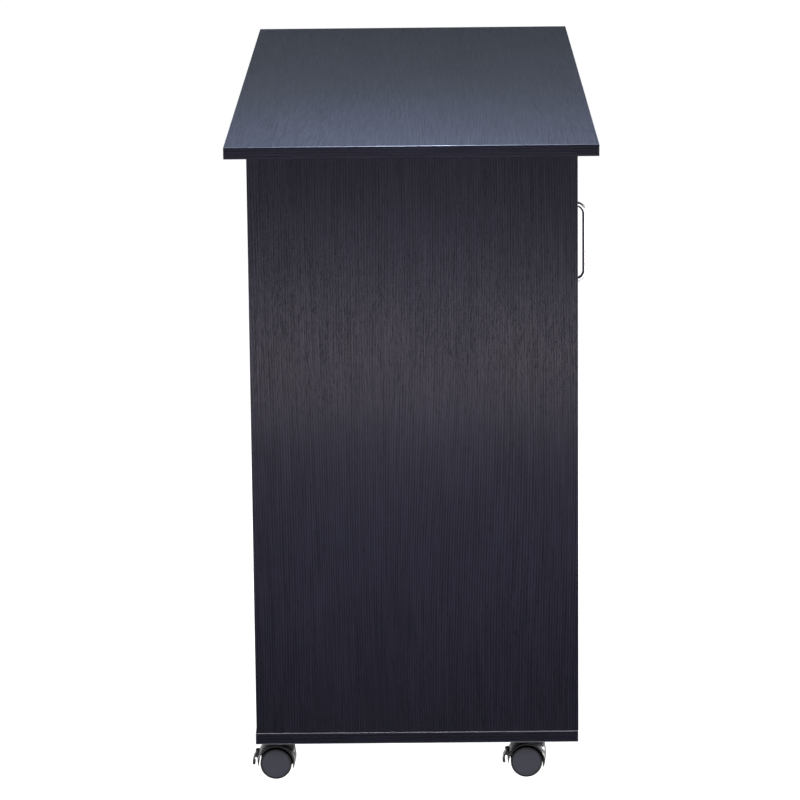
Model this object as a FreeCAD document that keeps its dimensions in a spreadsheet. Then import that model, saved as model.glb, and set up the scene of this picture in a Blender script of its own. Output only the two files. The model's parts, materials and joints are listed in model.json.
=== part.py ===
import FreeCAD, Part
import os
import re

import Sketcher

# A rolling kitchen island cart. Millimetres. X runs along the worktop, the front looks towards
# -Y, Z is up. The origin is on the floor under the middle of the worktop.

PARTS_FOLDER = "parts"

# ------------------------------------------------------------------ driving sizes

SIZES = [
    ("worktop_length", 1200, "worktop, along X, over its edging"),
    ("worktop_depth", 460, "worktop, along Y, over its edging"),
    ("worktop_thickness", 15, "worktop board"),
    ("worktop_height", 820, "top face above the floor"),
    ("edging_thickness", 1, "band glued round the worktop"),
    ("end_overhang", 28, "worktop past each side panel"),
    ("front_overhang", 25.5, "worktop past the front and the rear of the base"),
    ("base_thickness", 15, "base board"),
    ("base_lip", 1.3, "base board past the rear edge of the side panels"),
    ("side_thickness", 15, "side panels"),
    ("partition_thickness", 15, "upright partitions"),
    ("divider_thickness", 15, "fixed boards under the drawers"),
    ("shelf_thickness", 15, "loose shelves"),
    ("back_thickness", 3, "back panel sheet"),
    ("back_inset", 8, "rear edge of the sides to the back panel"),
    ("groove_depth", 6, "grooves that hold the back panel"),
    ("groove_play", 0.2, "play of a sheet in its groove, each side"),
    ("front_gap", 2.5, "gap round the door and the drawer fronts"),
    ("door_thickness", 15, "door board"),
    ("pivot_inset", 14, "door edge to the pivot axis"),
    ("pivot_radius", 2.5, "pivot pins"),
    ("pivot_bite", 10, "pivot pin in the base or the worktop"),
    ("bush_radius", 5, "sleeve of a pivot bush"),
    ("bush_length", 14, "sleeve of a pivot bush"),
    ("bush_flange_radius", 7, "flange of a pivot bush"),
    ("running_clearance", 0.05, "pin in its bore, radius"),
    ("end_play", 0.3, "axial play of turning pieces"),
    ("drawer_front_height", 140, "drawer fronts"),
    ("drawer_front_thickness", 15, "drawer fronts"),
    ("drawer_side_thickness", 12, "drawer sides and backs"),
    ("drawer_side_rise", 12, "lower edge of the sides above that of the front"),
    ("drawer_side_drop", 18, "upper edge of the sides below that of the front"),
    ("drawer_rear_room", 31.5, "rear end of a drawer to the rear edge of the partitions"),
    ("drawer_side_gap", 3, "drawer side to the board beside it"),
    ("drawer_bottom_thickness", 3, "drawer bottom sheet"),
    ("drawer_bottom_rise", 8, "drawer bottom above the lower edge of the sides"),
    ("drawer_groove_depth", 5, "grooves that hold the drawer bottom"),
    ("runner_height", 12.4, "runner strips"),
    ("runner_bite", 6, "runner in the groove of the drawer side"),
    ("runner_rear_room", 14.7, "rear end of a runner to that of the drawer"),
    ("runner_play", 0.3, "runner in its groove, each side"),
    ("shelf_play", 1, "loose shelf to the boards beside and behind it"),
    ("open_shelf_setback", 20, "front edge of an open shelf behind the cabinet front"),
    ("cupboard_shelf_setback", 40, "front edge of the cupboard shelf"),
    ("open_shelf_height", 350, "underside of the open shelves above the floor"),
    ("cupboard_shelf_height", 420, "underside of the cupboard shelf above the floor"),
    ("shelf_pin_radius", 2.5, "shelf pins"),
    ("shelf_pin_bite", 6.5, "shelf pin in its board"),
    ("shelf_pin_reach", 8, "shelf pin under the shelf"),
    ("shelf_pin_inset", 45, "shelf edge to the pins"),
    ("shelf_pin_stagger", 16, "pins of the right shelf further in, so that two holes never meet"),
    ("shelf_pin_pitch", 32, "spare pin holes, up and down"),
    ("pull_centres", 101.6, "screw centres of a pull"),
    ("pull_rod_radius", 3.5, "rod of a pull"),
    ("pull_reach", 22, "centre line of the bar in front of the board"),
    ("pull_bend_radius", 13, "centre line of the bends"),
    ("door_pull_drop", 168, "top edge of the door to the middle of its pull"),
    ("door_pull_inset", 30, "edge of the door to its pull"),
    ("screw_radius", 2, "pull screws, shank"),
    ("screw_head_radius", 4, "pull screws, head"),
    ("screw_head_height", 2.4, "pull screws, head"),
    ("screw_bite", 8, "pull screw in the pull"),
    ("screw_hole_play", 0.25, "pull screw in the board, radius"),
    ("catch_width", 40, "magnetic catch, along X"),
    ("catch_depth", 18, "magnetic catch, along Y"),
    ("catch_height", 12, "magnetic catch"),
    ("catch_inset", 30, "partition to the catch"),
    ("catch_plate_thickness", 1, "steel plate on the door"),
    ("catch_gap", 0.3, "plate to the catch with the door shut"),
    ("cam_radius", 7.5, "cam locks"),
    ("cam_depth", 12, "cam locks"),
    ("cam_offset", 34, "end of the board to the middle of a cam"),
    ("cam_bolt_radius", 3.5, "cam bolts"),
    ("cam_thread_radius", 2.5, "cam bolt in the worktop or the base"),
    ("cam_thread_length", 10, "cam bolt in the worktop or the base"),
    ("dowel_radius", 4, "dowels"),
    ("dowel_length", 28, "dowels"),
    ("dowel_bite", 7, "dowel in the face of a board"),
    ("fixing_inset", 60, "edge of the board to the first fixing"),
    ("dowel_spacing", 32, "fixing to the dowel beside it"),
    ("fixing_play", 0.1, "fixing in its hole, radius"),
    ("hood_gap", 4.8, "top of a hood to its mounting plate"),
    ("caster_end_inset", 40, "end of the base to a swivel axis"),
    ("caster_front_inset", 49, "front of the base to a swivel axis"),
    ("caster_rear_inset", 41, "rear of the base to a swivel axis"),
    ("caster_plate_side", 40, "mounting plate"),
    ("caster_plate_thickness", 2.2, "mounting plate"),
    ("plate_screw_spacing", 27, "screws of a mounting plate"),
    ("plate_screw_radius", 1.75, "screws of a mounting plate"),
    ("plate_screw_length", 11, "screws of a mounting plate"),
    ("plate_screw_head_radius", 3.5, "screws of a mounting plate"),
    ("plate_screw_head_height", 1.6, "screws of a mounting plate"),
    ("kingpin_radius", 4, "swivel pin"),
    ("kingpin_length", 20, "swivel pin below its plate"),
    ("wheel_radius", 20, "caster wheels"),
    ("wheel_trail", 16.4, "swivel axis to the axle"),
    ("wheel_outer_face", 20, "middle of the caster to the outer face of a wheel"),
    ("wheel_inner_face", 7.5, "middle of the caster to the inner face of a wheel"),
    ("wheel_chamfer", 1.2, "edges of the tread"),
    ("wheel_hub_radius", 6, "boss inside a wheel"),
    ("axle_radius", 2.5, "axles"),
    ("axle_half_length", 17, "axles"),
    ("hood_play", 1.7, "tread of a wheel to the hood"),
    ("hood_wall", 3.3, "hood"),
    ("hood_rear_drop", 4, "rear arm of the hood below the axle"),
    ("hood_front_drop", 8, "front arm of the hood below the axle"),
    ("web_half_thickness", 4, "web between the wheels"),
    ("web_drop", 8, "web below the axle"),
    ("web_tail", 9, "web behind the axle"),
    ("wheel_side_play", 0.4, "web and socket to the wheels"),
    ("socket_radius", 9.2, "socket round the swivel pin"),
    ("socket_taper_height", 14, "cone under the socket"),
    ("socket_tip_radius", 3, "lower end of that cone"),
    ("lever_angle", 21, "axle to the lever pivot, degrees above the horizontal"),
    ("lever_offset", 0.65, "hood to the middle of the lever pivot"),
    ("lever_knob_radius", 2.7, "round end on the pivot"),
    ("lever_tip_radius", 1.8, "round end at the toe"),
    ("lever_toe_reach", 4.6, "lever pivot to the toe, along Y"),
    ("lever_toe_drop", 11.7, "lever pivot to the toe, along Z"),
    ("lever_bulge", 2.2, "curve of the lever off its chord"),
    ("lever_thickness", 2.2, "lever"),
    ("lever_half_width", 8.2, "lever, along X"),
    ("lever_side_play", 0.4, "lever to each ear"),
    ("lever_pin_radius", 1.2, "stub pins of the lever"),
    ("lever_pin_length", 2.4, "stub pins of the lever"),
    ("ear_thickness", 2.8, "ears of the hood"),
    ("ear_radius", 3.2, "ears of the hood"),
    ("lever_slot_radius", 4.6, "slot in the hood round the lever"),
    ("shoe_length", 3.6, "brake shoe, from the pivot"),
    ("shoe_thickness", 1.6, "brake shoe"),
]

DRAWERS = ("centre", "right")
ENDS = {"left": "-1", "right": "1"}
ROWS = ("front", "rear")
BRAKED_END = "left"

doc = FreeCAD.newDocument("KitchenIslandCart")
sheet = doc.addObject("Spreadsheet::Sheet", "Sizes")
for line, (alias, value, meaning) in enumerate(SIZES, start=1):
    sheet.set(f"A{line}", alias)
    sheet.set(f"B{line}", str(value))
    sheet.setAlias(f"B{line}", alias)
    sheet.set(f"C{line}", meaning)
doc.recompute()

sub_parts = []


# ------------------------------------------------------------------ helpers


def of(text):
    """Makes an expression on the sheet's cells from a text with the aliases in brackets."""
    return "(" + re.sub(r"\[(\w+)\]", r"Sizes.\1", text) + ")"


def number(expression):
    """The present value of an expression on the sheet's cells."""
    return float(sheet.evalExpression(expression))


def bind(thing, settings):
    for name, expression in settings.items():
        thing.setExpression(name, str(expression))


def place(thing, point):
    bind(thing, {f"Placement.Base.{axis}": value for axis, value in zip("xyz", point)})
    return thing


def box(name, low, high):
    """A box from its low corner to its high corner."""
    thing = doc.addObject("Part::Box", name)
    spans = [f"{top} - {bottom}" for bottom, top in zip(low, high)]
    bind(thing, dict(zip(("Length", "Width", "Height"), spans)))
    return place(thing, low)


TURNS = {
    "X": FreeCAD.Rotation(FreeCAD.Vector(0, 1, 0), 90),
    "Y": FreeCAD.Rotation(FreeCAD.Vector(1, 0, 0), -90),
    "Z": FreeCAD.Rotation(),
}


def rod(name, axis, start, radius, length):
    """A cylinder that starts at a point and runs towards + along one axis."""
    thing = doc.addObject("Part::Cylinder", name)
    thing.Placement = FreeCAD.Placement(FreeCAD.Vector(), TURNS[axis])
    bind(thing, {"Radius": radius, "Height": length})
    return place(thing, start)


def fuse(name, things):
    result = doc.addObject("Part::MultiFuse", name)
    result.Shapes = things
    return result


def cut(name, base, tools):
    result = doc.addObject("Part::Cut", name)
    result.Base = base
    result.Tool = tools[0] if len(tools) == 1 else fuse(name + "_tools", tools)
    return result


def group(name, things):
    """Separate solids that share one node."""
    result = doc.addObject("Part::Compound", name)
    result.Links = things
    return result


def finish(thing, label):
    """Marks an object as a sub-part, whose label names its file."""
    thing.Label = label
    sub_parts.append(thing)
    return thing


def plane(body, role):
    return next(item for item in body.Origin.OriginFeatures if item.Role == role)


def outline(body, name, role, points):
    """A closed sketch of straight lines, every corner of it bound to the sheet."""
    sketch = body.newObject("Sketcher::SketchObject", name)
    sketch.AttachmentSupport = [(plane(body, role), "")]
    sketch.MapMode = "FlatFace"
    corners = [FreeCAD.Vector(number(x), number(y), 0) for x, y in points]
    for index, corner in enumerate(corners):
        sketch.addGeometry(Part.LineSegment(corner, corners[(index + 1) % len(corners)]))
    for index in range(len(corners)):
        following = (index + 1) % len(corners)
        sketch.addConstraint(Sketcher.Constraint("Coincident", index, 2, following, 1))
    for index, (corner, point) in enumerate(zip(corners, points)):
        for kind, value, expression in zip(("DistanceX", "DistanceY"), corner, point):
            spot = sketch.addConstraint(Sketcher.Constraint(kind, index, 1, value))
            sketch.setExpression(f"Constraints[{spot}]", expression)
    return sketch


# ------------------------------------------------------------------ planes shared by the boards

WORKTOP_TOP = of("[worktop_height]")
WORKTOP_UNDER = of("[worktop_height] - [worktop_thickness]")
HOOD_INNER = of("[wheel_radius] + [hood_play]")
HOOD_OUTER = of(HOOD_INNER + " + [hood_wall]")
PLATE_UNDER = of(f"[wheel_radius] + {HOOD_OUTER} + [hood_gap]")
BASE_UNDER = of(PLATE_UNDER + " + [caster_plate_thickness]")
BASE_TOP = of(BASE_UNDER + " + [base_thickness]")
FRONT = of("-([worktop_depth] / 2 - [front_overhang])")
BASE_REAR = of("[worktop_depth] / 2 - [front_overhang]")
SIDE_REAR = of(BASE_REAR + " - [base_lip]")
BACK_REAR = of(SIDE_REAR + " - [back_inset]")
BACK_FRONT = of(BACK_REAR + " - [back_thickness]")
INNER_REAR = of(BACK_FRONT + " - [groove_play]")
OUTER_RIGHT = of("[worktop_length] / 2 - [end_overhang]")
OUTER_LEFT = of("-" + OUTER_RIGHT)
INNER_RIGHT = of(OUTER_RIGHT + " - [side_thickness]")
INNER_LEFT = of("-" + INNER_RIGHT)
BAY_WIDTH = of(f"(2 * {INNER_RIGHT} - 2 * [partition_thickness]) / 3")
CENTRE_RIGHT = of(BAY_WIDTH + " / 2")
CENTRE_LEFT = of("-" + CENTRE_RIGHT)
DIVIDER_TOP = of(f"{WORKTOP_UNDER} - 2 * [front_gap] - [drawer_front_height]")
DIVIDER_UNDER = of(DIVIDER_TOP + " - [divider_thickness]")

BAYS = {
    "cupboard": (INNER_LEFT, of(CENTRE_LEFT + " - [partition_thickness]")),
    "centre": (CENTRE_LEFT, CENTRE_RIGHT),
    "right": (of(CENTRE_RIGHT + " + [partition_thickness]"), INNER_RIGHT),
}

# The upright boards: left face, right face, rear edge, and the face that the cam locks enter.
UPRIGHTS = {
    "left_side_panel": (OUTER_LEFT, INNER_LEFT, SIDE_REAR, "right"),
    "left_partition": (BAYS["cupboard"][1], CENTRE_LEFT, INNER_REAR, "left"),
    "right_partition": (CENTRE_RIGHT, BAYS["right"][0], INNER_REAR, "left"),
    "right_side_panel": (INNER_RIGHT, OUTER_RIGHT, SIDE_REAR, "left"),
}


# ------------------------------------------------------------------ fixings and the holes for them

holes = {name: [] for name in (*UPRIGHTS, "worktop", "base_board", "centre_drawer_divider",
                               "right_drawer_divider", "door_panel")}
cam_locks = []
cam_bolts = []
dowels = []


def fixing_rows(rear):
    """Where the cam bolts and the dowels stand, from the front edge and from the rear edge."""
    bolts = (of(FRONT + " + [fixing_inset]"), of(rear + " - [fixing_inset]"))
    pegs = (of(bolts[0] + " + [dowel_spacing]"), of(bolts[1] + " - [dowel_spacing]"))
    return bolts, pegs


def fix_upright(name, end):
    """Cam locks, cam bolts and dowels between one end of an upright board and the board across it."""
    left, right, rear, cam_face = UPRIGHTS[name]
    middle = of(f"({left} + {right}) / 2")
    if end == "top":
        other_board = "worktop"
        cam_height = of(WORKTOP_UNDER + " - [cam_offset]")
        bolt_low = of(cam_height + " + [cam_radius]")
        bolt_high = WORKTOP_UNDER
        thread_low = WORKTOP_UNDER
        dowel_low = of(WORKTOP_UNDER + " + [dowel_bite] - [dowel_length]")
    else:
        other_board = "base_board"
        cam_height = of(BASE_TOP + " + [cam_offset]")
        bolt_low = BASE_TOP
        bolt_high = of(cam_height + " - [cam_radius]")
        thread_low = of(BASE_TOP + " - [cam_thread_length]")
        dowel_low = of(BASE_TOP + " - [dowel_bite]")
    bolt_rows, dowel_rows = fixing_rows(rear)
    for row, y in enumerate(bolt_rows):
        tag = f"{name}_{end}_{row}"
        cam_start = left if cam_face == "left" else of(right + " - [cam_depth]")
        cam_locks.append(
            rod("cam_" + tag, "X", (cam_start, y, cam_height), of("[cam_radius]"), of("[cam_depth]")))
        holes[name].append(
            rod("cam_hole_" + tag, "X", (cam_start, y, cam_height),
                of("[cam_radius] + [fixing_play]"), of("[cam_depth]")))
        length = of(f"{bolt_high} - {bolt_low}")
        shank = rod("bolt_shank_" + tag, "Z", (middle, y, bolt_low), of("[cam_bolt_radius]"), length)
        thread = rod("bolt_thread_" + tag, "Z", (middle, y, thread_low),
                     of("[cam_thread_radius]"), of("[cam_thread_length]"))
        cam_bolts.append(fuse("bolt_" + tag, [shank, thread]))
        holes[name].append(
            rod("bolt_hole_" + tag, "Z", (middle, y, bolt_low),
                of("[cam_bolt_radius] + [fixing_play]"), length))
        holes[other_board].append(
            rod("thread_hole_" + tag, "Z", (middle, y, thread_low),
                of("[cam_thread_radius] + [fixing_play]"), of("[cam_thread_length]")))
    for row, y in enumerate(dowel_rows):
        tag = f"{name}_{end}_{row}"
        start = (middle, y, dowel_low)
        dowels.append(rod("dowel_" + tag, "Z", start, of("[dowel_radius]"), of("[dowel_length]")))
        for board in (name, other_board):
            holes[board].append(
                rod(f"dowel_hole_{board}_{tag}", "Z", start,
                    of("[dowel_radius] + [fixing_play]"), of("[dowel_length]")))


def fix_divider(bay, end):
    """Dowels between one end of the board under a drawer and the upright beside it.

    The two bays use different rows, so that dowels from both faces of a partition never meet.
    """
    left, right = BAYS[bay]
    beside = {
        ("centre", "left"): "left_partition",
        ("centre", "right"): "right_partition",
        ("right", "left"): "right_partition",
        ("right", "right"): "right_side_panel",
    }[bay, end]
    height = of(f"({DIVIDER_TOP} + {DIVIDER_UNDER}) / 2")
    if end == "left":
        start_x = of(left + " - [dowel_bite]")
    else:
        start_x = of(right + " + [dowel_bite] - [dowel_length]")
    for row, y in enumerate(fixing_rows(INNER_REAR)[DRAWERS.index(bay)]):
        tag = f"{bay}_divider_{end}_{row}"
        start = (start_x, y, height)
        dowels.append(rod("dowel_" + tag, "X", start, of("[dowel_radius]"), of("[dowel_length]")))
        for board in (f"{bay}_drawer_divider", beside):
            holes[board].append(
                rod(f"dowel_hole_{board}_{tag}", "X", start,
                    of("[dowel_radius] + [fixing_play]"), of("[dowel_length]")))


for upright in UPRIGHTS:
    for board_end in ("bottom", "top"):
        fix_upright(upright, board_end)
for bay in DRAWERS:
    for board_end in ENDS:
        fix_divider(bay, board_end)
finish(group("cam_locks", cam_locks), "cam_locks")
finish(group("cam_bolts", cam_bolts), "cam_bolts")
finish(group("dowels", dowels), "dowels")


# ------------------------------------------------------------------ loose shelves and their pins

shelf_pins = []


def make_shelf(bay, label, setback, height, pin_inset):
    """A loose shelf on four pins, with a spare row of pin holes above and below."""
    left, right = BAYS[bay]
    front = of(f"{FRONT} + {setback}")
    rear = of(BACK_FRONT + " - [shelf_play]")
    low = (of(left + " + [shelf_play]"), front, height)
    high = (of(right + " - [shelf_play]"), rear, of(height + " + [shelf_thickness]"))
    finish(box(label, low, high), label)
    pin_height = of(height + " - [shelf_pin_radius]")
    rows = (of(f"{front} + {pin_inset}"), of(f"{rear} - {pin_inset}"))
    uprights = {
        "cupboard": ("left_side_panel", "left_partition"),
        "centre": ("left_partition", "right_partition"),
        "right": ("right_partition", "right_side_panel"),
    }[bay]
    pin_starts = (of(left + " - [shelf_pin_bite]"), of(right + " - [shelf_pin_reach]"))
    hole_starts = (pin_starts[0], right)
    for side, upright in enumerate(uprights):
        for row, y in enumerate(rows):
            tag = f"{label}_{side}_{row}"
            shelf_pins.append(
                rod("pin_" + tag, "X", (pin_starts[side], y, pin_height),
                    of("[shelf_pin_radius]"), of("[shelf_pin_bite] + [shelf_pin_reach]")))
            for step in (-1, 0, 1):
                hole_height = of(f"{pin_height} + {step} * [shelf_pin_pitch]")
                holes[upright].append(
                    rod(f"pin_hole_{tag}_{step + 1}", "X", (hole_starts[side], y, hole_height),
                        of("[shelf_pin_radius] + [fixing_play]"), of("[shelf_pin_bite]")))


make_shelf("cupboard", "cupboard_shelf", of("[cupboard_shelf_setback]"), of("[cupboard_shelf_height]"),
           of("[shelf_pin_inset]"))
make_shelf("centre", "centre_shelf", of("[open_shelf_setback]"), of("[open_shelf_height]"),
           of("[shelf_pin_inset]"))
make_shelf("right", "right_shelf", of("[open_shelf_setback]"), of("[open_shelf_height]"),
           of("[shelf_pin_inset] + [shelf_pin_stagger]"))
finish(group("shelf_pins", shelf_pins), "shelf_pins")


# ------------------------------------------------------------------ pulls

def make_pull(owner, x, z, upright, board_rear):
    """A bent-rod pull on the cabinet's front plane and its two screws, both in the board's holes.

    It is made with its bar along X and its feet at Y = 0, then moved to the board, and turned
    so that the bar stands up if upright is set. The holes come back, placed, as tools.
    """
    half = of("[pull_centres] / 2")
    bend_x = of(half + " - [pull_bend_radius]")
    bend_y = of("[pull_bend_radius] - [pull_reach]")
    rod_radius = of("[pull_rod_radius]")
    bar_start = (of("-" + bend_x), of("-[pull_reach]"), "0")
    solids = [rod(f"{owner}_bar", "X", bar_start, rod_radius, of("2 * " + bend_x))]
    bores = []
    screws = []
    tools = []
    board = of(f"{board_rear} - {FRONT}")
    for tag, sign, turn in (("first", "-1", 180), ("second", "1", -90)):
        bend = doc.addObject("Part::Torus", f"{owner}_bend_{tag}")
        bend.Placement = FreeCAD.Placement(
            FreeCAD.Vector(), FreeCAD.Rotation(FreeCAD.Vector(0, 0, 1), turn))
        bend.Angle3 = 90
        bind(bend, {"Radius1": of("[pull_bend_radius]"), "Radius2": rod_radius})
        solids.append(place(bend, (of(f"{sign} * {bend_x}"), bend_y, "0")))
        leg_x = of(f"{sign} * {half}")
        solids.append(
            rod(f"{owner}_leg_{tag}", "Y", (leg_x, bend_y, "0"), rod_radius, of("-" + bend_y)))
        tip = (leg_x, of("-[screw_bite]"), "0")
        bores.append(
            rod(f"{owner}_bore_{tag}", "Y", tip, of("[screw_radius]"), of("[screw_bite]")))
        shank = rod(f"{owner}_shank_{tag}", "Y", tip, of("[screw_radius]"),
                    of(f"{board} + [screw_bite]"))
        head = rod(f"{owner}_head_{tag}", "Y", (leg_x, board, "0"),
                   of("[screw_head_radius]"), of("[screw_head_height]"))
        screws.append(fuse(f"{owner}_screw_{tag}", [shank, head]))
        tools.append(
            rod(f"{owner}_hole_{tag}", "Y", (leg_x, "0", "0"),
                of("[screw_radius] + [screw_hole_play]"), board))
    made = (
        finish(cut(f"{owner}_pull", fuse(f"{owner}_pull_rod", solids), bores), f"{owner}_pull"),
        finish(group(f"{owner}_pull_screws", screws), f"{owner}_pull_screws"),
        group(f"{owner}_pull_holes", tools),
    )
    turn = FreeCAD.Rotation(FreeCAD.Vector(0, 1, 0), 90 if upright else 0)
    for thing in made:
        thing.Placement = FreeCAD.Placement(FreeCAD.Vector(), turn)
        place(thing, (x, FRONT, z))
    return made[2]


# ------------------------------------------------------------------ door

DOOR_LEFT = of(BAYS["cupboard"][0] + " + [front_gap]")
DOOR_RIGHT = of(BAYS["cupboard"][1] + " - [front_gap]")
DOOR_LOW = of(BASE_TOP + " + [front_gap]")
DOOR_HIGH = of(WORKTOP_UNDER + " - [front_gap]")
DOOR_REAR = of(FRONT + " + [door_thickness]")
PIVOT_X = of(DOOR_LEFT + " + [pivot_inset]")
PIVOT_Y = of(FRONT + " + [door_thickness] / 2")


def make_pivot(end):
    """One pin, held in the base or the worktop, and the flanged bush that turns on it."""
    at_top = end == "upper"
    joint = WORKTOP_UNDER if at_top else BASE_TOP
    door_edge = DOOR_HIGH if at_top else DOOR_LOW
    board = "worktop" if at_top else "base_board"
    pin_length = of("[pivot_bite] + [front_gap] + [bush_length] - 2 * [end_play]")
    flange_height = of("[front_gap] - [end_play]")
    bore_length = of("[bush_length] + [front_gap]")
    if at_top:
        pin_low = of(f"{joint} + [pivot_bite] - {pin_length}")
        hole_low = joint
        sleeve_low = of(door_edge + " - [bush_length]")
        flange_low = door_edge
        bore_low = sleeve_low
    else:
        pin_low = of(joint + " - [pivot_bite]")
        hole_low = pin_low
        sleeve_low = door_edge
        flange_low = of(f"{door_edge} - {flange_height}")
        bore_low = of(f"{sleeve_low} - [front_gap]")

    def upright_rod(name, low, radius, length):
        return rod(f"{end}_pivot_{name}", "Z", (PIVOT_X, PIVOT_Y, low), radius, length)

    pin = upright_rod("pin", pin_low, of("[pivot_radius]"), pin_length)
    holes[board].append(upright_rod("hole", hole_low, of("[pivot_radius]"), of("[pivot_bite]")))
    sleeve = upright_rod("sleeve", sleeve_low, of("[bush_radius]"), of("[bush_length]"))
    flange = upright_rod("flange", flange_low, of("[bush_flange_radius]"), flange_height)
    bore = upright_rod(
        "bore", bore_low, of("[pivot_radius] + [running_clearance]"), bore_length)
    holes["door_panel"].append(
        upright_rod("bush_hole", sleeve_low, of("[bush_radius]"), of("[bush_length]")))
    bush = cut(f"{end}_pivot_bush", fuse(f"{end}_pivot_bush_blank", [sleeve, flange]), [bore])
    return pin, bush


pivots = [make_pivot(end) for end in ("lower", "upper")]
finish(group("door_pivot_pins", [pin for pin, _ in pivots]), "door_pivot_pins")
finish(group("door_pivot_bushes", [bush for _, bush in pivots]), "door_pivot_bushes")

pull_x = of(DOOR_RIGHT + " - [door_pull_inset]")
pull_z = of(DOOR_HIGH + " - [door_pull_drop]")
holes["door_panel"].append(make_pull("door", pull_x, pull_z, True, DOOR_REAR))
door_board = box("door_board", (DOOR_LEFT, FRONT, DOOR_LOW), (DOOR_RIGHT, DOOR_REAR, DOOR_HIGH))
finish(cut("door_panel", door_board, holes["door_panel"]), "door_panel")

catch_right = of(BAYS["cupboard"][1] + " - [catch_inset]")
catch_left = of(catch_right + " - [catch_width]")
catch_low = of(WORKTOP_UNDER + " - [catch_height]")
plate_rear = of(DOOR_REAR + " + [catch_plate_thickness]")
catch_front = of(plate_rear + " + [catch_gap]")
finish(
    box("catch_plate", (catch_left, DOOR_REAR, catch_low), (catch_right, plate_rear, DOOR_HIGH)),
    "catch_plate")
catch_rear = of(catch_front + " + [catch_depth]")
finish(
    box("magnetic_catch", (catch_left, catch_front, catch_low),
        (catch_right, catch_rear, WORKTOP_UNDER)),
    "magnetic_catch")


# ------------------------------------------------------------------ drawers and their runners

def make_drawer(bay):
    """Front, two sides, rear, bottom sheet and pull of one drawer, and its pair of runners."""
    name = f"{bay}_drawer"
    left, right = BAYS[bay]
    front_low = of(DIVIDER_TOP + " + [front_gap]")
    front_high = of(WORKTOP_UNDER + " - [front_gap]")
    front_rear = of(FRONT + " + [drawer_front_thickness]")
    outer = (of(left + " + [drawer_side_gap]"), of(right + " - [drawer_side_gap]"))
    inner = (of(outer[0] + " + [drawer_side_thickness]"), of(outer[1] + " - [drawer_side_thickness]"))
    rear = of(INNER_REAR + " - [drawer_rear_room]")
    low = of(front_low + " + [drawer_side_rise]")
    high = of(front_high + " - [drawer_side_drop]")
    sheet_low = of(low + " + [drawer_bottom_rise]")
    sheet_high = of(sheet_low + " + [drawer_bottom_thickness]")
    sheet_front = of(front_rear + " - [drawer_groove_depth]")
    sheet_sides = (of(inner[0] + " - [drawer_groove_depth]"), of(inner[1] + " + [drawer_groove_depth]"))

    def sheet_slot(tag):
        """The room for the bottom sheet, with its play, as a tool."""
        return box(
            f"{name}_{tag}_sheet_slot",
            (of(sheet_sides[0] + " - [groove_play]"), of(sheet_front + " - [groove_play]"),
             of(sheet_low + " - [groove_play]")),
            (of(sheet_sides[1] + " + [groove_play]"), of(rear + " + [groove_play]"),
             of(sheet_high + " + [groove_play]")))

    front = box(
        f"{name}_front_board",
        (of(left + " + [front_gap]"), FRONT, front_low),
        (of(right + " - [front_gap]"), front_rear, front_high))
    middle = (of(f"({left} + {right}) / 2"), of(f"({front_low} + {front_high}) / 2"))
    pull_holes = make_pull(name, middle[0], middle[1], False, front_rear)
    finish(cut(f"{name}_front", front, [sheet_slot("front"), pull_holes]), f"{name}_front")

    runner_middle = of(f"({low} + {high}) / 2")
    runner_low = of(runner_middle + " - [runner_height] / 2")
    runner_high = of(runner_middle + " + [runner_height] / 2")
    runner_front = of(front_rear + " + [runner_play]")
    runner_rear = of(rear + " - [runner_rear_room]")
    runners = []
    for side in ENDS:
        is_left = side == "left"
        board_left, board_right = (outer[0], inner[0]) if is_left else (inner[1], outer[1])
        runner_left = left if is_left else of(outer[1] + " - [runner_bite]")
        runner_right = of(outer[0] + " + [runner_bite]") if is_left else right
        runners.append(
            box(f"{name}_{side}_runner", (runner_left, runner_front, runner_low),
                (runner_right, runner_rear, runner_high)))
        track = box(
            f"{name}_{side}_track",
            (of(runner_left + " - [runner_play]"), front_rear, of(runner_low + " - [runner_play]")),
            (of(runner_right + " + [runner_play]"), rear, of(runner_high + " + [runner_play]")))
        board = box(f"{name}_{side}_board", (board_left, front_rear, low), (board_right, rear, high))
        finish(cut(f"{name}_{side}_side", board, [sheet_slot(side), track]), f"{name}_{side}_side")
    finish(group(f"{name}_runners", runners), f"{name}_runners")
    finish(
        box(f"{name}_rear", (inner[0], of(rear + " - [drawer_side_thickness]"),
                             of(sheet_high + " + [groove_play]")), (inner[1], rear, high)),
        f"{name}_rear")
    finish(
        box(f"{name}_bottom", (sheet_sides[0], sheet_front, sheet_low),
            (sheet_sides[1], rear, sheet_high)),
        f"{name}_bottom")


for bay in DRAWERS:
    make_drawer(bay)


# ------------------------------------------------------------------ casters

AXLE_Y = of("[wheel_trail]")
AXLE_Z = of("[wheel_radius]")
SOCKET_TOP = of(PLATE_UNDER + " - [end_play]")
PIVOT_ARM = of(HOOD_OUTER + " + [lever_offset]")
PIVOT = (
    of(f"{AXLE_Y} + {PIVOT_ARM} * cos([lever_angle])"),
    of(f"{AXLE_Z} + {PIVOT_ARM} * sin([lever_angle])"),
)


def across(name, radius, half_width, y=AXLE_Y, z=AXLE_Z):
    """A cylinder along X, centred on the caster."""
    return rod(name, "X", (of("-" + half_width), y, z), radius, of("2 * " + half_width))


def centred_box(name, half_width, low, high):
    """A box centred on the caster along X, from low (y, z) to high (y, z)."""
    return box(name, (of("-" + half_width), *low), (half_width, *high))


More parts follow.
